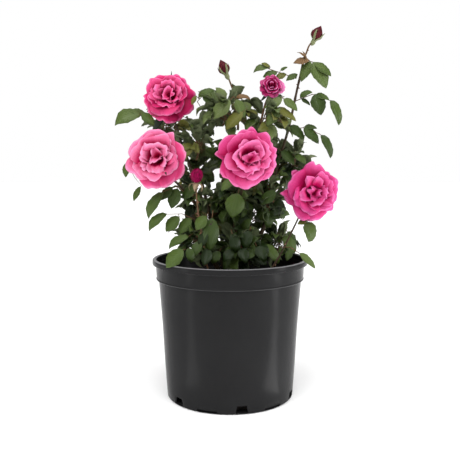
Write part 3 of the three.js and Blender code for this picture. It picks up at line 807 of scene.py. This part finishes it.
OUTLYING = {
    # node: (points of the stalk, then leaflets as above)
    "left_spray": ([(-106, 8, 496), (-134, 4, 506), (-160, 0, 507)], [
        (-158, 507, -205, 492, 0, 0.95, ARCHED, GREY), (-150, 507, -178, 516, 4, 0.75, FLAT, MIDDLE),
        (-156, 509, -133, 489, -6, 0.95, FLAT, MIDDLE)]),
    "left_drop_spray": ([(-100, -40, 396), (-140, -34, 424), (-170, -30, 432), (-180, -30, 424),
                         (-166, -32, 396), (-154, -34, 382)], [
        (-180, 422, -182, 397, -30, 0.75, FLAT, MIDDLE), (-156, 381, -169, 356, -34, 0.6, FLAT, MIDDLE)]),
    "left_hanging_spray": ([(-80, -21, 370), (-93, -31, 381), (-116, -36, 372)], [
        (-116, 371, -144, 327, -38, 0.55, ARCHED, MIDDLE), (-91, 378, -103, 343, -38, 0.95, FLAT, DARK),
        (-100, 380, -122, 358, -34, 0.85, FLAT, DARK)]),
    "left_low_spray": ([(-62, -11, 321), (-84, -33, 333), (-111, -40, 333)], [
        (-110, 334, -142, 306, -42, 0.62, ARCHED, MIDDLE), (-88, 329, -113, 304, -42, 0.98, FLAT, MIDDLE),
        (-68, 326, -90, 299, -40, 0.9, FLAT, MIDDLE)]),
    "left_rim_leaf": ([(-41, -53, 258), (-62, -76, 275), (-78, -94, 278)], [
        (-78, 278, -108, 249, -95, 0.98, FLAT, MIDDLE), (-70, 280, -64, 256, -88, 0.8, ARCHED, DARK)]),
    "top_left_spray": ([(-44, 6, 508), (-58, 0, 530), (-48, -4, 540)], [
        (-56, 537, -27, 549, -4, 0.62, ARCHED, MIDDLE), (-48, 541, -29, 522, -6, 0.8, FLAT, MIDDLE),
        (-60, 540, -68, 524, -2, 0.7, FLAT, OLIVE)]),
    "top_right_spray": ([(118, 14, 572), (96, 14, 580), (66, 14, 590)], [
        (70, 591, 42, 584, 14, 0.75, ARCHED, GREY), (72, 592, 56, 599, 14, 0.7, FLAT, OLIVE),
        (84, 582, 58, 575, 10, 0.9, FLAT, MIDDLE), (100, 580, 80, 571, 12, 0.95, FLAT, OLIVE),
        (120, 579, 99, 568, 8, 0.8, FLAT, MIDDLE), (90, 586, 102, 592, 14, 0.8, FLAT, MIDDLE)]),
    "top_bud_spray": ([(129, 9, 598), (136, 4, 602), (145, 0, 599)], [
        (140, 602, 111, 598, 0, 0.8, FLAT, BRONZE), (142, 600, 124, 565, 0, 0.7, FLAT, GREY),
        (146, 599, 172, 554, 0, 0.92, FLAT, GREY), (150, 597, 180, 576, 3, 0.8, FLAT, MIDDLE),
        (134, 604, 119, 616, 4, 0.3, ARCHED, BRONZE), (136, 604, 128, 618, 4, 0.3, FLAT, BRONZE)]),
    "right_upper_spray": ([(117, 12, 532), (146, 2, 543), (176, -2, 532)], [
        (124, 537, 144, 547, 0, 0.75, ARCHED, MIDDLE), (126, 535, 142, 524, -2, 0.7, FLAT, DARK),
        (150, 543, 162, 506, -4, 1.1, FLAT, DARK), (152, 543, 176, 534, 0, 0.8, FLAT, MIDDLE),
        (177, 532, 194, 490, -4, 0.5, ARCHED, MIDDLE)]),
    "right_lower_spray": ([(104, 12, 482), (130, -4, 484), (160, -10, 472)], [
        (106, 488, 132, 464, -8, 0.85, FLAT, DARK), (130, 484, 158, 457, -10, 0.85, FLAT, DARK),
        (132, 486, 154, 484, -4, 0.8, FLAT, DARK), (160, 471, 179, 432, -12, 0.48, ARCHED, DARK)]),
    "right_drop_spray": ([(118, -45, 334), (126, -44, 330), (135, -42, 320)], [
        (134, 322, 117, 317, -42, 0.9, FLAT, OLIVE), (135, 320, 139, 285, -42, 0.9, CURLED, MIDDLE)]),
    "right_rim_leaf": ([(88, -48, 276), (104, -64, 278), (118, -76, 269)], [
        (118, 270, 146, 245, -78, 0.55, FLAT, GREY), (104, 276, 96, 256, -70, 0.8, FLAT, DARK)]),
}
for node, (points, rows) in OUTLYING.items():
    spray = Spray()
    spray.stalks.append([(Vector(p), 0.9 - 0.12 * k) for k, p in enumerate(points)])
    spray.placed(rows, points)
    spray.build(node + "_leaves", node)
    all_stalks.extend(spray.stalks)
stalks = new_piece("leaf_stalks", tube_mesh("leaf_stalks", all_stalks, 1), [barks["young"]], 60)
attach(stalks, "root")

# ---- Blooms: full double flowers of twenty to thirty soft ruffled petals, which open flat at the
# outside and stand cupped round an uneven heart. Petals are thin and velvety, deep rose toward
# their foot and paler at the edge. The deep foot is partly the flower's own colour and partly
# painted shade of the folds; the pale edge is partly its own colour and partly a painted highlight.
# Behind each flower are its hip, five sepals and the end of its stem.


def petal_material(name, deep, main, edge):
    """Deep colour at the foot, partly painted shade of the folds, then main or edge colour by each
    petal's own paleness, a pale lip that is partly a painted highlight, and fine darker veins
    running up the petal."""
    material, nodes, links, shader = new_material(name, main, 0.55)
    uv = nodes.new("ShaderNodeUVMap")
    uv.uv_map = "petal"
    split = nodes.new("ShaderNodeSeparateXYZ")
    links.new(uv.outputs["UV"], split.inputs["Vector"])
    paleness = nodes.new("ShaderNodeVertexColor")
    paleness.layer_name = "paleness"
    face_tone = ramp(nodes, links, paleness.outputs["Color"], [(0.0, deep), (0.45, main), (1.0, edge)])
    # deep colour toward each petal's foot: partly the flower's own colour, partly painted shade of the folds
    rise = ramp(nodes, links, split.outputs["Y"], [(0.5, (0, 0, 0)), (0.97, (1, 1, 1))])
    # pale lip at the petal's tip: partly the petal's own paler edge, partly a painted highlight on the rolled
    # edge
    lip_and_highlight = ramp(nodes, links, split.outputs["Y"], [(0.88, (0, 0, 0)), (0.98, (0.8, 0.8, 0.8))])
    shade = blend(nodes, links, lip_and_highlight, blend(nodes, links, rise, deep, face_tone), edge)
    vein = noise(nodes, links, uv.outputs["UV"], 1, 4, (46, 2.5, 1))
    vein_tone = ramp(nodes, links, vein, [(0.3, (0.82, 0.62, 0.72)), (0.65, (1, 1, 1))])
    links.new(blend(nodes, links, 0.55, shade, vein_tone, "MULTIPLY"), shader.inputs["Base Color"])
    relief(nodes, links, shader, vein, 0.5, 0.001)
    shader.inputs["Specular IOR Level"].default_value = 0.12
    return material


sepal_green = leaf_material("sepal_green", (0.030, 0.045, 0.030), 0.6, 0.3)
PETAL_FOOT = -0.42
PETAL_GRID = 14  # faces across and along a petal
SEPAL_LONG, SEPAL_WIDE = 10, 4
SEPAL_THICK, PETAL_THICK = 0.0004, 0.00035


def add_petal(mesh, uv_layer, tone_layer, place, size, row, ruffle, dice):
    """One petal on the bloom's face, in shares of the bloom's radius. row is bearing in degrees,
    foot radius, tip radius, tip height, half width, cupping, belly, paleness and pointedness."""
    bearing, foot, tip, rise, wide, cup, belly, pale, point = row
    made = bmesh.ops.create_grid(mesh, x_segments=PETAL_GRID, y_segments=PETAL_GRID, size=1)["verts"]
    # four waves use these, and the fifth draw only keeps the later ones in their order
    phase = [dice.uniform(0, math.tau) for _ in range(5)]
    notch = dice.choice((0, 0.05, 0.10)) * (1 - point)
    skew = dice.uniform(-0.14, 0.14)
    twist = dice.uniform(-0.16, 0.16)
    bend = dice.uniform(-0.12, 0.12)
    pale += dice.uniform(-0.06, 0.06)
    for face in {f for v in made for f in v.link_faces}:
        for loop in face.loops:
            loop[uv_layer].uv = (loop.vert.co.x / 2 + 0.5, loop.vert.co.y / 2 + 0.5)
            loop[tone_layer] = (pale, pale, pale, 1)
    climb = rise - PETAL_FOOT
    for v in made:
        s, t = v.co.x, v.co.y / 2 + 0.5
        shoulder = (0.20 + 0.22 * point) * abs(s) ** (2.6 - 1.3 * point)
        reach = t * (1 - shoulder - notch * math.exp(-((s - skew) / 0.2) ** 2) * t + skew * s * t * t)
        up = PETAL_FOOT + climb * reach + belly * math.sin(math.pi * reach)
        along = Vector((foot + (tip - foot) * reach, 0, up))
        slope = Vector((tip - foot, 0, climb + belly * math.pi * math.cos(math.pi * reach))).normalized()
        normal = Vector((-slope.z, 0, slope.x))
        spread = 0.2 + 0.8 * math.sin(min(1.0, 1.3 * t) * math.pi / 2)
        half = wide * spread * (1 - (0.22 + 0.25 * point) * t ** 6)
        x = s * half
        arc = x * cup / max(wide, 0.1)
        out = math.sin(arc) / arc * x if abs(arc) > 1e-4 else x
        lift = (1 - math.cos(arc)) / arc * x if abs(arc) > 1e-4 else 0
        wave = (0.6 * math.sin(2.6 * s + phase[0]) + 0.34 * math.sin(5.4 * s + phase[1])
                + 0.3 * math.sin(4.2 * t + phase[2]) + 0.14 * math.sin(10 * s + phase[3]) * t)
        roll = (0.9 + 2 * ruffle) * max(0, t - 0.72) ** 2 + 0.6 * max(0, abs(s) - 0.7) ** 2 * t
        lift += ruffle * t * t * wave - roll + twist * s * t * wide
        along += normal * lift
        v.co = Vector((along.x, out + bend * t * t * (tip - foot), along.z))
    pose = Matrix.Rotation(math.radians(bearing), 4, "Z") @ Matrix.Rotation(dice.uniform(-0.12, 0.12), 4, "X")
    bmesh.ops.transform(mesh, matrix=place @ Matrix.Scale(size, 4) @ pose, verts=made)


def add_calyx(name, place, size, stem_end, sepals):
    """Hip, five sepals and the last of the flower stem, behind the bloom."""
    mesh = bmesh.new()
    made = bmesh.ops.create_uvsphere(mesh, u_segments=18, v_segments=12, radius=1)["verts"]
    for v in made:
        v.co = Vector((v.co.x * 0.13, v.co.y * 0.13, -0.52 + v.co.z * 0.15))
    for bearing, length, wide in sepals:
        made = bmesh.ops.create_grid(mesh, x_segments=SEPAL_WIDE, y_segments=SEPAL_LONG, size=1)["verts"]
        turn = Matrix.Rotation(math.radians(bearing - 90), 4, "Z")
        for v in made:
            s, t = v.co.x, v.co.y / 2 + 0.5
            half = wide * (1 - t) ** 0.7 * (0.8 + 0.9 * t) + 0.004
            down = -0.44 - 0.10 * math.sin(2.6 * t) - 0.9 * (s * half) ** 2
            v.co = Vector((s * half, 0.08 + (length - 0.08) * t, down))
        bmesh.ops.transform(mesh, matrix=turn, verts=made)
    bmesh.ops.transform(mesh, matrix=place @ Matrix.Scale(size, 4), verts=mesh.verts)
    top = place @ Vector((0, 0, -0.6 * size))
    reach_down = Vector(stem_end) * MM - top
    made = bmesh.ops.create_cone(mesh, segments=14, radius1=1.5 * MM, radius2=1.9 * MM,
                                 depth=reach_down.length, cap_ends=True)["verts"]
    turn = reach_down.to_track_quat("Z", "Y").to_matrix().to_4x4()
    bmesh.ops.transform(mesh, matrix=Matrix.Translation(top + reach_down / 2) @ turn, verts=made)
    piece = new_piece(name, mesh, [sepal_green], 60)
    thick = piece.modifiers.new("sepal_thickness", "SOLIDIFY")
    thick.thickness = SEPAL_THICK
    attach(piece, "root")


def bloom(name, node, centre, facing, radius, colors, petals, heart, ruffle, seed, stem_end, sepals, roll=0):
    """A whole open flower. facing is the way its face looks, heart the shift of its inner petals
    and roll its turn about its own axis."""
    dice = random.Random(seed)
    mesh = bmesh.new()
    uv_layer = mesh.loops.layers.uv.new("petal")
    tone_layer = mesh.loops.layers.float_color.new("paleness")
    axis = Vector(facing).normalized()
    right = Vector((0, 0, 1)).cross(axis).normalized()
    basis = Matrix((right, axis.cross(right), axis)).transposed().to_4x4()
    place = Matrix.Translation(Vector(centre) * MM) @ basis @ Matrix.Rotation(math.radians(roll), 4, "Z")
    made = bmesh.ops.create_uvsphere(mesh, u_segments=16, v_segments=8, radius=1)["verts"]
    for v in made:
        v.co = Vector((v.co.x * 0.3, v.co.y * 0.3, -0.40 + v.co.z * 0.10))
    bmesh.ops.transform(mesh, matrix=place @ Matrix.Scale(radius * MM, 4), verts=made)
    for row in petals:
        inner = max(0, 1 - row[2] / 0.75)
        shift = Matrix.Translation((heart[0] * inner * radius * MM, heart[1] * inner * radius * MM, 0))
        ruffled = ruffle * dice.uniform(0.7, 1.3)
        add_petal(mesh, uv_layer, tone_layer, place @ shift, radius * MM, row, ruffled, dice)
    bmesh.ops.recalc_face_normals(mesh, faces=mesh.faces)
    piece = new_piece(name, mesh, [petal_material(name + "_petal", *colors)], 180)
    thick = piece.modifiers.new("petal_thickness", "SOLIDIFY")
    thick.thickness = PETAL_THICK
    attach(piece, "root")
    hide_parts(node)
    add_calyx(name + "_calyx", place, radius * MM, stem_end, sepals)


SEPALS = [(16 + 72 * k, 0.82, 0.085) for k in range(5)]
# petals from the outside in, each row as add_petal() takes it
CENTRE_PETALS = [
    (92, .1, 1.03, -.32, .46, -.5, .06, .40, .1), (48, .1, 1.08, -.20, .60, -.3, .12, .48, .8),
    (128, .1, .98, -.12, .66, -.8, .22, .52, 0), (170, .1, 1.06, -.28, .36, -.6, .08, .30, 1),
    (210, .1, 1.02, -.26, .52, -.4, .08, .30, .5), (252, .1, 1.02, -.18, .58, -.2, .14, .48, .1),
    (284, .1, 1.0, -.10, .56, .1, .18, .60, .1), (322, .1, .98, -.12, .52, 0, .16, .58, .2),
    (356, .1, .98, -.06, .52, .2, .18, .66, .1), (22, .1, .98, -.14, .50, -.1, .14, .56, .2),
    (204, .1, .80, .06, .38, .6, .20, .80, .3), (114, .14, .74, .16, .58, .7, .26, .60, 0),
    (62, .14, .76, .14, .50, .6, .24, .58, .3), (14, .12, .80, .10, .38, .8, .24, .82, .1),
    (342, .12, .78, .14, .34, .9, .20, .74, .3), (296, .12, .80, .06, .40, .6, .22, .70, .1),
    (258, .12, .72, .08, .40, .7, .20, .64, .2), (186, .10, .46, .38, .46, 1.0, .10, .95, .1),
    (122, .10, .44, .36, .36, 1.1, .10, .76, .1), (78, .08, .46, .34, .48, 1.1, .12, .72, .2),
    (34, .10, .50, .28, .32, 1.2, .12, .80, .3), (300, .10, .46, .24, .30, 1.1, .14, .84, .2),
    (254, .08, .48, .26, .40, 1.0, .16, .90, .2), (0, -.20, .34, .26, .20, 1.0, .16, .92, .9),
    (320, -.12, .30, .16, .22, 1.4, .10, .70, .2), (150, -.10, .20, .24, .26, 1.6, .08, .60, 0),
    (60, -.08, .22, .20, .24, 1.6, .06, .45, 0), (240, -.06, .22, .16, .22, 1.6, .06, .50, 0)]
LEFT_PETALS = [
    (182, .1, 1.0, -.14, .64, -.3, .14, .78, 0), (136, .1, .98, -.14, .64, -.4, .14, .70, 0),
    (94, .1, .98, -.12, .58, -.4, .12, .66, 0), (58, .1, 1.06, -.18, .46, -.4, .12, .60, .9),
    (22, .1, 1.0, -.22, .54, -.4, .10, .40, .2), (342, .1, 1.02, -.26, .56, -.5, .08, .32, .3),
    (302, .1, 1.0, -.18, .56, -.4, .10, .48, .1), (262, .1, 1.04, -.20, .62, -.4, .10, .46, .1),
    (224, .1, .98, -.10, .62, -.3, .14, .74, 0), (192, .1, .86, .00, .60, .1, .20, .86, 0),
    (146, .12, .82, .08, .60, .4, .24, .84, 0), (88, .12, .78, .12, .54, .6, .24, .76, 0),
    (48, .12, .82, .12, .36, .6, .22, .80, .6), (14, .12, .78, .08, .42, .7, .22, .64, .3),
    (318, .12, .80, .06, .46, .6, .20, .66, .1), (248, .12, .82, .08, .54, .5, .24, .88, 0),
    (92, .06, .40, .38, .52, .9, .10, .92, 0), (40, .10, .44, .30, .30, 1.2, .10, .84, .2),
    (2, .10, .46, .26, .28, 1.2, .10, .82, .3), (324, .10, .46, .22, .26, 1.2, .12, .84, .1),
    (286, .10, .58, .22, .24, .9, .18, .94, 0), (258, .10, .54, .24, .22, 1.0, .18, .96, 0),
    (214, .12, .56, .22, .22, 1.2, .12, .90, .1), (176, .12, .48, .26, .34, 1.1, .10, .84, .1),
    (148, .10, .42, .32, .34, 1.1, .08, .88, 0), (120, -.08, .20, .28, .26, 1.6, .06, .66, 0),
    (20, -.08, .22, .26, .24, 1.6, .06, .60, 0), (250, -.10, .22, .24, .24, 1.6, .06, .68, 0)]
UPPER_PETALS = [
    (120, .1, .98, -.12, .56, -.4, .14, .52, 0), (78, .1, .98, -.16, .54, -.4, .12, .50, 0),
    (42, .1, .96, -.18, .52, -.4, .12, .40, .1), (6, .1, 1.06, -.24, .48, -.4, .10, .34, .5),
    (330, .1, 1.04, -.26, .52, -.5, .10, .22, .4), (290, .1, .98, -.18, .54, -.4, .10, .30, .1),
    (252, .1, 1.0, -.14, .58, -.3, .14, .44, 0), (214, .1, .96, -.12, .50, -.2, .14, .40, .1),
    (180, .1, 1.0, -.12, .46, -.2, .16, .48, .1), (150, .1, .98, -.08, .48, -.1, .16, .60, 0),
    (108, .12, .80, .14, .54, .6, .24, .64, 0), (58, .12, .78, .14, .48, .7, .24, .66, 0),
    (14, .12, .76, .10, .42, .7, .20, .50, .2), (322, .12, .76, .06, .46, .7, .20, .40, .1),
    (264, .12, .82, .10, .62, .6, .22, .58, 0), (206, .12, .76, .08, .42, .7, .20, .46, .1),
    (164, .12, .74, .16, .42, .8, .20, .62, .1), (132, .10, .52, .28, .40, 1.1, .12, .74, 0),
    (84, .10, .46, .32, .38, 1.2, .10, .70, 0), (40, .08, .54, .26, .44, 1.2, .14, .80, .1),
    (350, .10, .46, .24, .32, 1.2, .10, .58, 0), (308, .10, .46, .22, .34, 1.2, .10, .54, 0),
    (262, .08, .50, .20, .46, 1.0, .12, .62, 0), (214, .10, .48, .24, .34, 1.1, .10, .58, 0),
    (170, .04, .44, .32, .30, 1.3, .12, .72, 0), (120, -.12, .22, .30, .30, 1.6, .10, .64, 0),
    (20, -.12, .22, .28, .28, 1.7, .08, .58, 0), (300, -.10, .22, .24, .26, 1.7, .06, .50, 0),
    (210, -.10, .22, .26, .26, 1.7, .06, .60, 0)]
RIGHT_PETALS = [
    (126, .1, 1.0, -.26, .36, -.5, .08, .28, .8), (80, .1, 1.04, -.10, .46, -.2, .16, .50, 0),
    (44, .1, .98, -.12, .44, -.1, .16, .48, .1), (10, .1, 1.02, -.14, .50, 0, .14, .46, .2),
    (338, .1, .96, -.20, .46, -.4, .10, .38, .1), (308, .1, .98, -.20, .48, -.4, .10, .36, .1),
    (272, .1, 1.04, -.16, .54, -.3, .14, .40, 0), (232, .1, 1.0, -.14, .54, -.3, .14, .34, .2),
    (198, .1, .98, -.20, .46, -.3, .12, .28, .4), (176, .1, 1.10, -.24, .40, -.4, .10, .28, 1),
    (152, .1, .90, -.04, .60, 0, .20, .46, .1), (50, .12, .80, .10, .32, .8, .22, .72, .1),
    (18, .12, .82, .06, .36, .8, .20, .62, .1), (344, .14, .78, .04, .38, .8, .18, .56, 0),
    (296, .12, .80, .04, .44, .7, .20, .50, 0), (250, .12, .80, .06, .46, .7, .20, .48, .1),
    (206, .12, .76, .04, .42, .6, .20, .40, .2), (114, .04, .60, .24, .24, .5, .26, .88, .2),
    (72, .04, .56, .26, .20, .6, .24, .86, .2), (258, .10, .48, .16, .46, 1.2, .06, .70, 0),
    (200, .10, .46, .22, .32, 1.1, .10, .60, 0), (318, .10, .42, .16, .30, 1.3, .08, .56, 0),
    (14, .08, .44, .18, .26, 1.2, .10, .62, 0), (140, -.10, .22, .16, .24, 1.6, .06, .60, 0),
    (350, -.08, .20, .12, .22, 1.6, .06, .45, 0), (250, -.08, .24, .10, .24, 1.6, .06, .50, 0)]
HALF_OPEN_PETALS = [
    (14, .1, 1.04, .06, .54, .4, .30, 1.0, .1), (335, .1, 1.04, 0, .50, .4, .26, .92, .3),
    (285, .1, .96, .02, .48, .5, .26, .60, .1), (235, .1, 1.02, .02, .48, .5, .26, .42, .3),
    (190, .1, 1.0, .04, .46, .5, .28, .45, .1), (145, .1, .98, .10, .48, .5, .30, .58, .2),
    (95, .1, 1.0, .10, .48, .5, .30, .50, .1), (58, .1, .96, .12, .42, .6, .30, .70, .2),
    (10, .12, .70, .34, .44, 1.0, .20, .45, .1), (300, .12, .66, .32, .44, 1.0, .20, .22, .2),
    (230, .12, .66, .34, .44, 1.0, .20, .25, .1), (165, .12, .66, .36, .42, 1.0, .20, .40, .1),
    (105, .12, .64, .38, .42, 1.0, .20, .30, .2), (50, .08, .44, .42, .36, 1.4, .12, .10, 0),
    (320, .08, .42, .42, .36, 1.4, .12, .06, 0), (240, .08, .40, .42, .36, 1.4, .12, .06, 0),
    (150, .08, .42, .44, .36, 1.4, .12, .10, 0), (90, -.08, .22, .42, .26, 1.6, .06, .04, 0),
    (270, -.08, .22, .42, .26, 1.6, .06, .04, 0)]
# deep, main and edge colour of each flower's petals
HOT = ((0.36, 0.001, 0.050), (0.74, 0.026, 0.180), (0.92, 0.23, 0.48))
PALE = ((0.52, 0.004, 0.080), (0.72, 0.085, 0.26), (0.86, 0.33, 0.54))
ROSE = ((0.46, 0.002, 0.078), (0.60, 0.056, 0.23), (0.82, 0.22, 0.46))
COOL = ((0.44, 0.003, 0.085), (0.56, 0.054, 0.23), (0.75, 0.18, 0.43))
CRIMSON = ((0.20, 0.001, 0.035), (0.44, 0.014, 0.13), (0.76, 0.24, 0.50))
bloom("upper_left_rose", "bloom_upper_left", (-110, 2, 540), (-0.05, -1, 0.22), 47, HOT, UPPER_PETALS,
      (0.05, 0.05), 0.12, 3, (-107, 8, 520),
      [(88, 1.16, 0.05), (243, 1.42, 0.2), (160, 0.85, 0.09), (20, 0.85, 0.09), (310, 0.9, 0.09)])
bloom("left_rose", "bloom_left", (-125, -74, 431), (-0.08, -1, 0.12), 51, PALE, LEFT_PETALS,
      (0.1, 0.05), 0.11, 8, (-118, -62, 416), SEPALS)
bloom("centre_rose", "bloom_centre", (28, -116, 432), (0.05, -1, 0.16), 51, ROSE, CENTRE_PETALS,
      (0.18, -0.12), 0.12, 14, (26, -106, 414), SEPALS)
bloom("right_rose", "bloom_right", (142, -54, 373), (0.1, -1, 0.08), 50, COOL, RIGHT_PETALS,
      (0.1, -0.05), 0.13, 21, (131, -44, 358), SEPALS)
bloom("half_open_rose", "bloom_half_open", (73, -8, 555), (0.05, -1, 0.35), 23, CRIMSON, HALF_OPEN_PETALS,
      (0, 0), 0.07, 30, (71, -2, 546),
      [(230, 1.25, 0.16), (262, 1.15, 0.12), (170, 0.9, 0.1), (20, 0.9, 0.1), (95, 0.9, 0.1)])
bloom("back_left_rose", "bloom_back_left", (-138, 126, 436), (-0.5, 1, 0.2), 43, ROSE, LEFT_PETALS,
      (0.05, 0.05), 0.12, 41, (-130, 116, 424), SEPALS, 70)
bloom("back_centre_rose", "bloom_back_centre", (22, 138, 432), (0.05, 1, 0.2), 44, HOT, CENTRE_PETALS,
      (-0.06, 0.05), 0.12, 52, (22, 128, 420), SEPALS, 140)

# ---- Buds: tightly rolled in dark crimson petals, with a green hip under them and five narrow
# sepals parting along the sides. The low one is blunt, and its faded sepals are thrown back.
BUD_COLOR = (0.062, 0.008, 0.012)
BUDS = [
    # name, node, foot, tip, radius, colour, bluntness, sepals thrown back
    ("top_bud", "bud_top", (145, 10, 630), (161, 10, 663), 12.0, BUD_COLOR, 0.0, False),
    ("centre_bud", "bud_centre", (-3, -10, 568), (-17, -11, 601), 11.5, BUD_COLOR, 0.0, False),
    ("low_bud", "bud_low", (-57, -76, 380), (-55, -80, 412), 10.6, (0.15, 0.0006, 0.032), 1.0, True),
]
hip_green = leaf_material("hip_green", (0.17, 0.19, 0.09), 0.5, 0.2)
faded_sepal = leaf_material("faded_sepal", (0.27, 0.20, 0.12), 0.6, 0.3)


def rolled_petals(radius, high, blunt):
    """The roll of petals, standing up from the foot of the bud, with its laps winding round it."""
    mesh = bmesh.new()
    bmesh.ops.create_uvsphere(mesh, u_segments=54, v_segments=24, radius=1)
    for v in mesh.verts:
        t = v.co.z / 2 + 0.5
        angle = math.atan2(v.co.y, v.co.x) if abs(v.co.x) + abs(v.co.y) > 1e-6 else 0
        girth = math.sin(math.pi * t ** (0.8 + 0.3 * blunt)) ** (0.85 - 0.4 * blunt) if 0 < t < 1 else 0
        girth *= 1 - (0.35 - 0.25 * blunt) * t
        lap = ((angle / math.tau + 0.5) * (3 + 2 * blunt) + 0.9 * t) % 1
        groove = 0.93 - 0.06 * blunt + (0.13 + 0.12 * blunt) * lap
        out = radius * girth * groove
        up = high * (0.26 + 0.74 * t + blunt * 0.07 * (lap - 0.5) * t * t)
        v.co = Vector((out * math.cos(angle), out * math.sin(angle), up)) * MM
    return mesh


def bud_skin(name, color):
    """Matt petal colour in fine streaks of dark and bright."""
    skin, nodes, links, shader = new_material(name, color, 0.5)
    streaks = noise(nodes, links, nodes.new("ShaderNodeTexCoord").outputs["Object"], 500, 2.0, (1, 1, 0.15))
    dark, bright = (tuple(channel * share for channel in color) for share in (0.5, 1.6))
    links.new(ramp(nodes, links, streaks, [(0.35, dark), (0.65, bright)]), shader.inputs["Base Color"])
    shader.inputs["Specular IOR Level"].default_value = 0.06
    return skin


def hip_and_sepals(radius, high, thrown_back):
    """The hip, and five sepals that lie along the petals or are thrown back under them."""
    mesh = bmesh.new()
    bmesh.ops.create_uvsphere(mesh, u_segments=16, v_segments=12, radius=1)
    for v in mesh.verts:
        girth = 4.2 + 1.1 * v.co.z
        v.co = Vector((v.co.x * girth, v.co.y * girth, 4 + v.co.z * 5.6)) * MM
    for k in range(5):
        parting = dice.choice((0.4, 1.0, 5.0))
        made = bmesh.ops.create_grid(mesh, x_segments=SEPAL_WIDE, y_segments=SEPAL_LONG, size=1)["verts"]
        turn = Matrix.Rotation(k * math.tau / 5 + dice.uniform(-0.2, 0.2), 4, "Z")
        for v in made:
            s, t = v.co.x, v.co.y / 2 + 0.5
            half = 3.0 * (1 - t) ** 0.6 * (0.7 + 0.5 * t)
            girth = math.sin(math.pi * min(1, 0.10 + 0.5 * t) ** 0.8) ** 0.85
            out = 3.4 + (radius * 0.8 * girth + 0.8 - 3.4) * min(1, t * 2.4) + parting * t ** 3
            up = high * (0.22 + 0.5 * t)
            if thrown_back:
                out = 3 + 9.5 * math.sin(2.3 * t)
                up = high * 0.24 - 13 * t ** 2
            v.co = Vector((s * half, out - 0.25 * (s * half) ** 2 / 3, up)) * MM
        bmesh.ops.transform(mesh, matrix=turn, verts=made)
    return mesh


for name, node, foot, tip, radius, color, blunt, thrown_back in BUDS:
    dice = random.Random(len(name) * 7)
    axis = Vector(tip) - Vector(foot)
    place = Matrix.Translation(Vector(foot) * MM) @ axis.to_track_quat("Z", "Y").to_matrix().to_4x4()
    mesh = rolled_petals(radius, axis.length, blunt)
    bmesh.ops.transform(mesh, matrix=place, verts=mesh.verts)
    petals = new_piece(name, mesh, [bud_skin(name + "_petal", color)], 70)
    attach(petals, "root")
    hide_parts(node)
    mesh = hip_and_sepals(radius, axis.length, thrown_back)
    bmesh.ops.transform(mesh, matrix=place, verts=mesh.verts)
    calyx = new_piece(name + "_calyx", mesh, [faded_sepal if thrown_back else hip_green], 60)
    thick = calyx.modifiers.new("sepal_thickness", "SOLIDIFY")
    thick.thickness = SEPAL_THICK
    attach(calyx, "root")

# ---- Blemishes: a black fleck on the left rose and three dark spots on one leaf in front, as a
# season in the open leaves. Each is a flat scab lying on the petal or the leaf.
SPOTS = [
    # piece under it, x, z, radius
    ("left_rose", -107, 405, 2.0), ("left_rose", -106, 402.6, 1.4),
    ("foot_centre_mass_leaves", -32, 319.5, 1.7), ("foot_centre_mass_leaves", -29.5, 323, 1.2),
    ("foot_centre_mass_leaves", -35, 317, 1.1)]
dice = random.Random(61)
spot_mesh = bmesh.new()
bpy.context.view_layer.update()
for under, x, z, radius in SPOTS:
    _, at, facing, _ = bpy.data.objects[under].ray_cast(Vector((x, -300, z)) * MM, Vector((0, 1, 0)))
    made = bmesh.ops.create_uvsphere(spot_mesh, u_segments=14, v_segments=8, radius=radius * MM)["verts"]
    for v in made:
        v.co = Vector((v.co.x * dice.uniform(0.85, 1.2), v.co.y, v.co.z * 0.28))
    turn = facing.to_track_quat("Z", "Y").to_matrix().to_4x4()
    bmesh.ops.transform(spot_mesh, matrix=Matrix.Translation(at) @ turn, verts=made)
scab, nodes, links, shader = new_material("dark_scab", (0.02, 0.012, 0.008), 0.7)
speckle = noise(nodes, links, nodes.new("ShaderNodeTexCoord").outputs["Object"], 700)
links.new(ramp(nodes, links, speckle, [(0.35, (0.008, 0.005, 0.006)), (0.7, (0.06, 0.032, 0.016))]),
          shader.inputs["Base Color"])
blemishes = new_piece("blemishes", spot_mesh, [scab], 60)
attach(blemishes, "root")
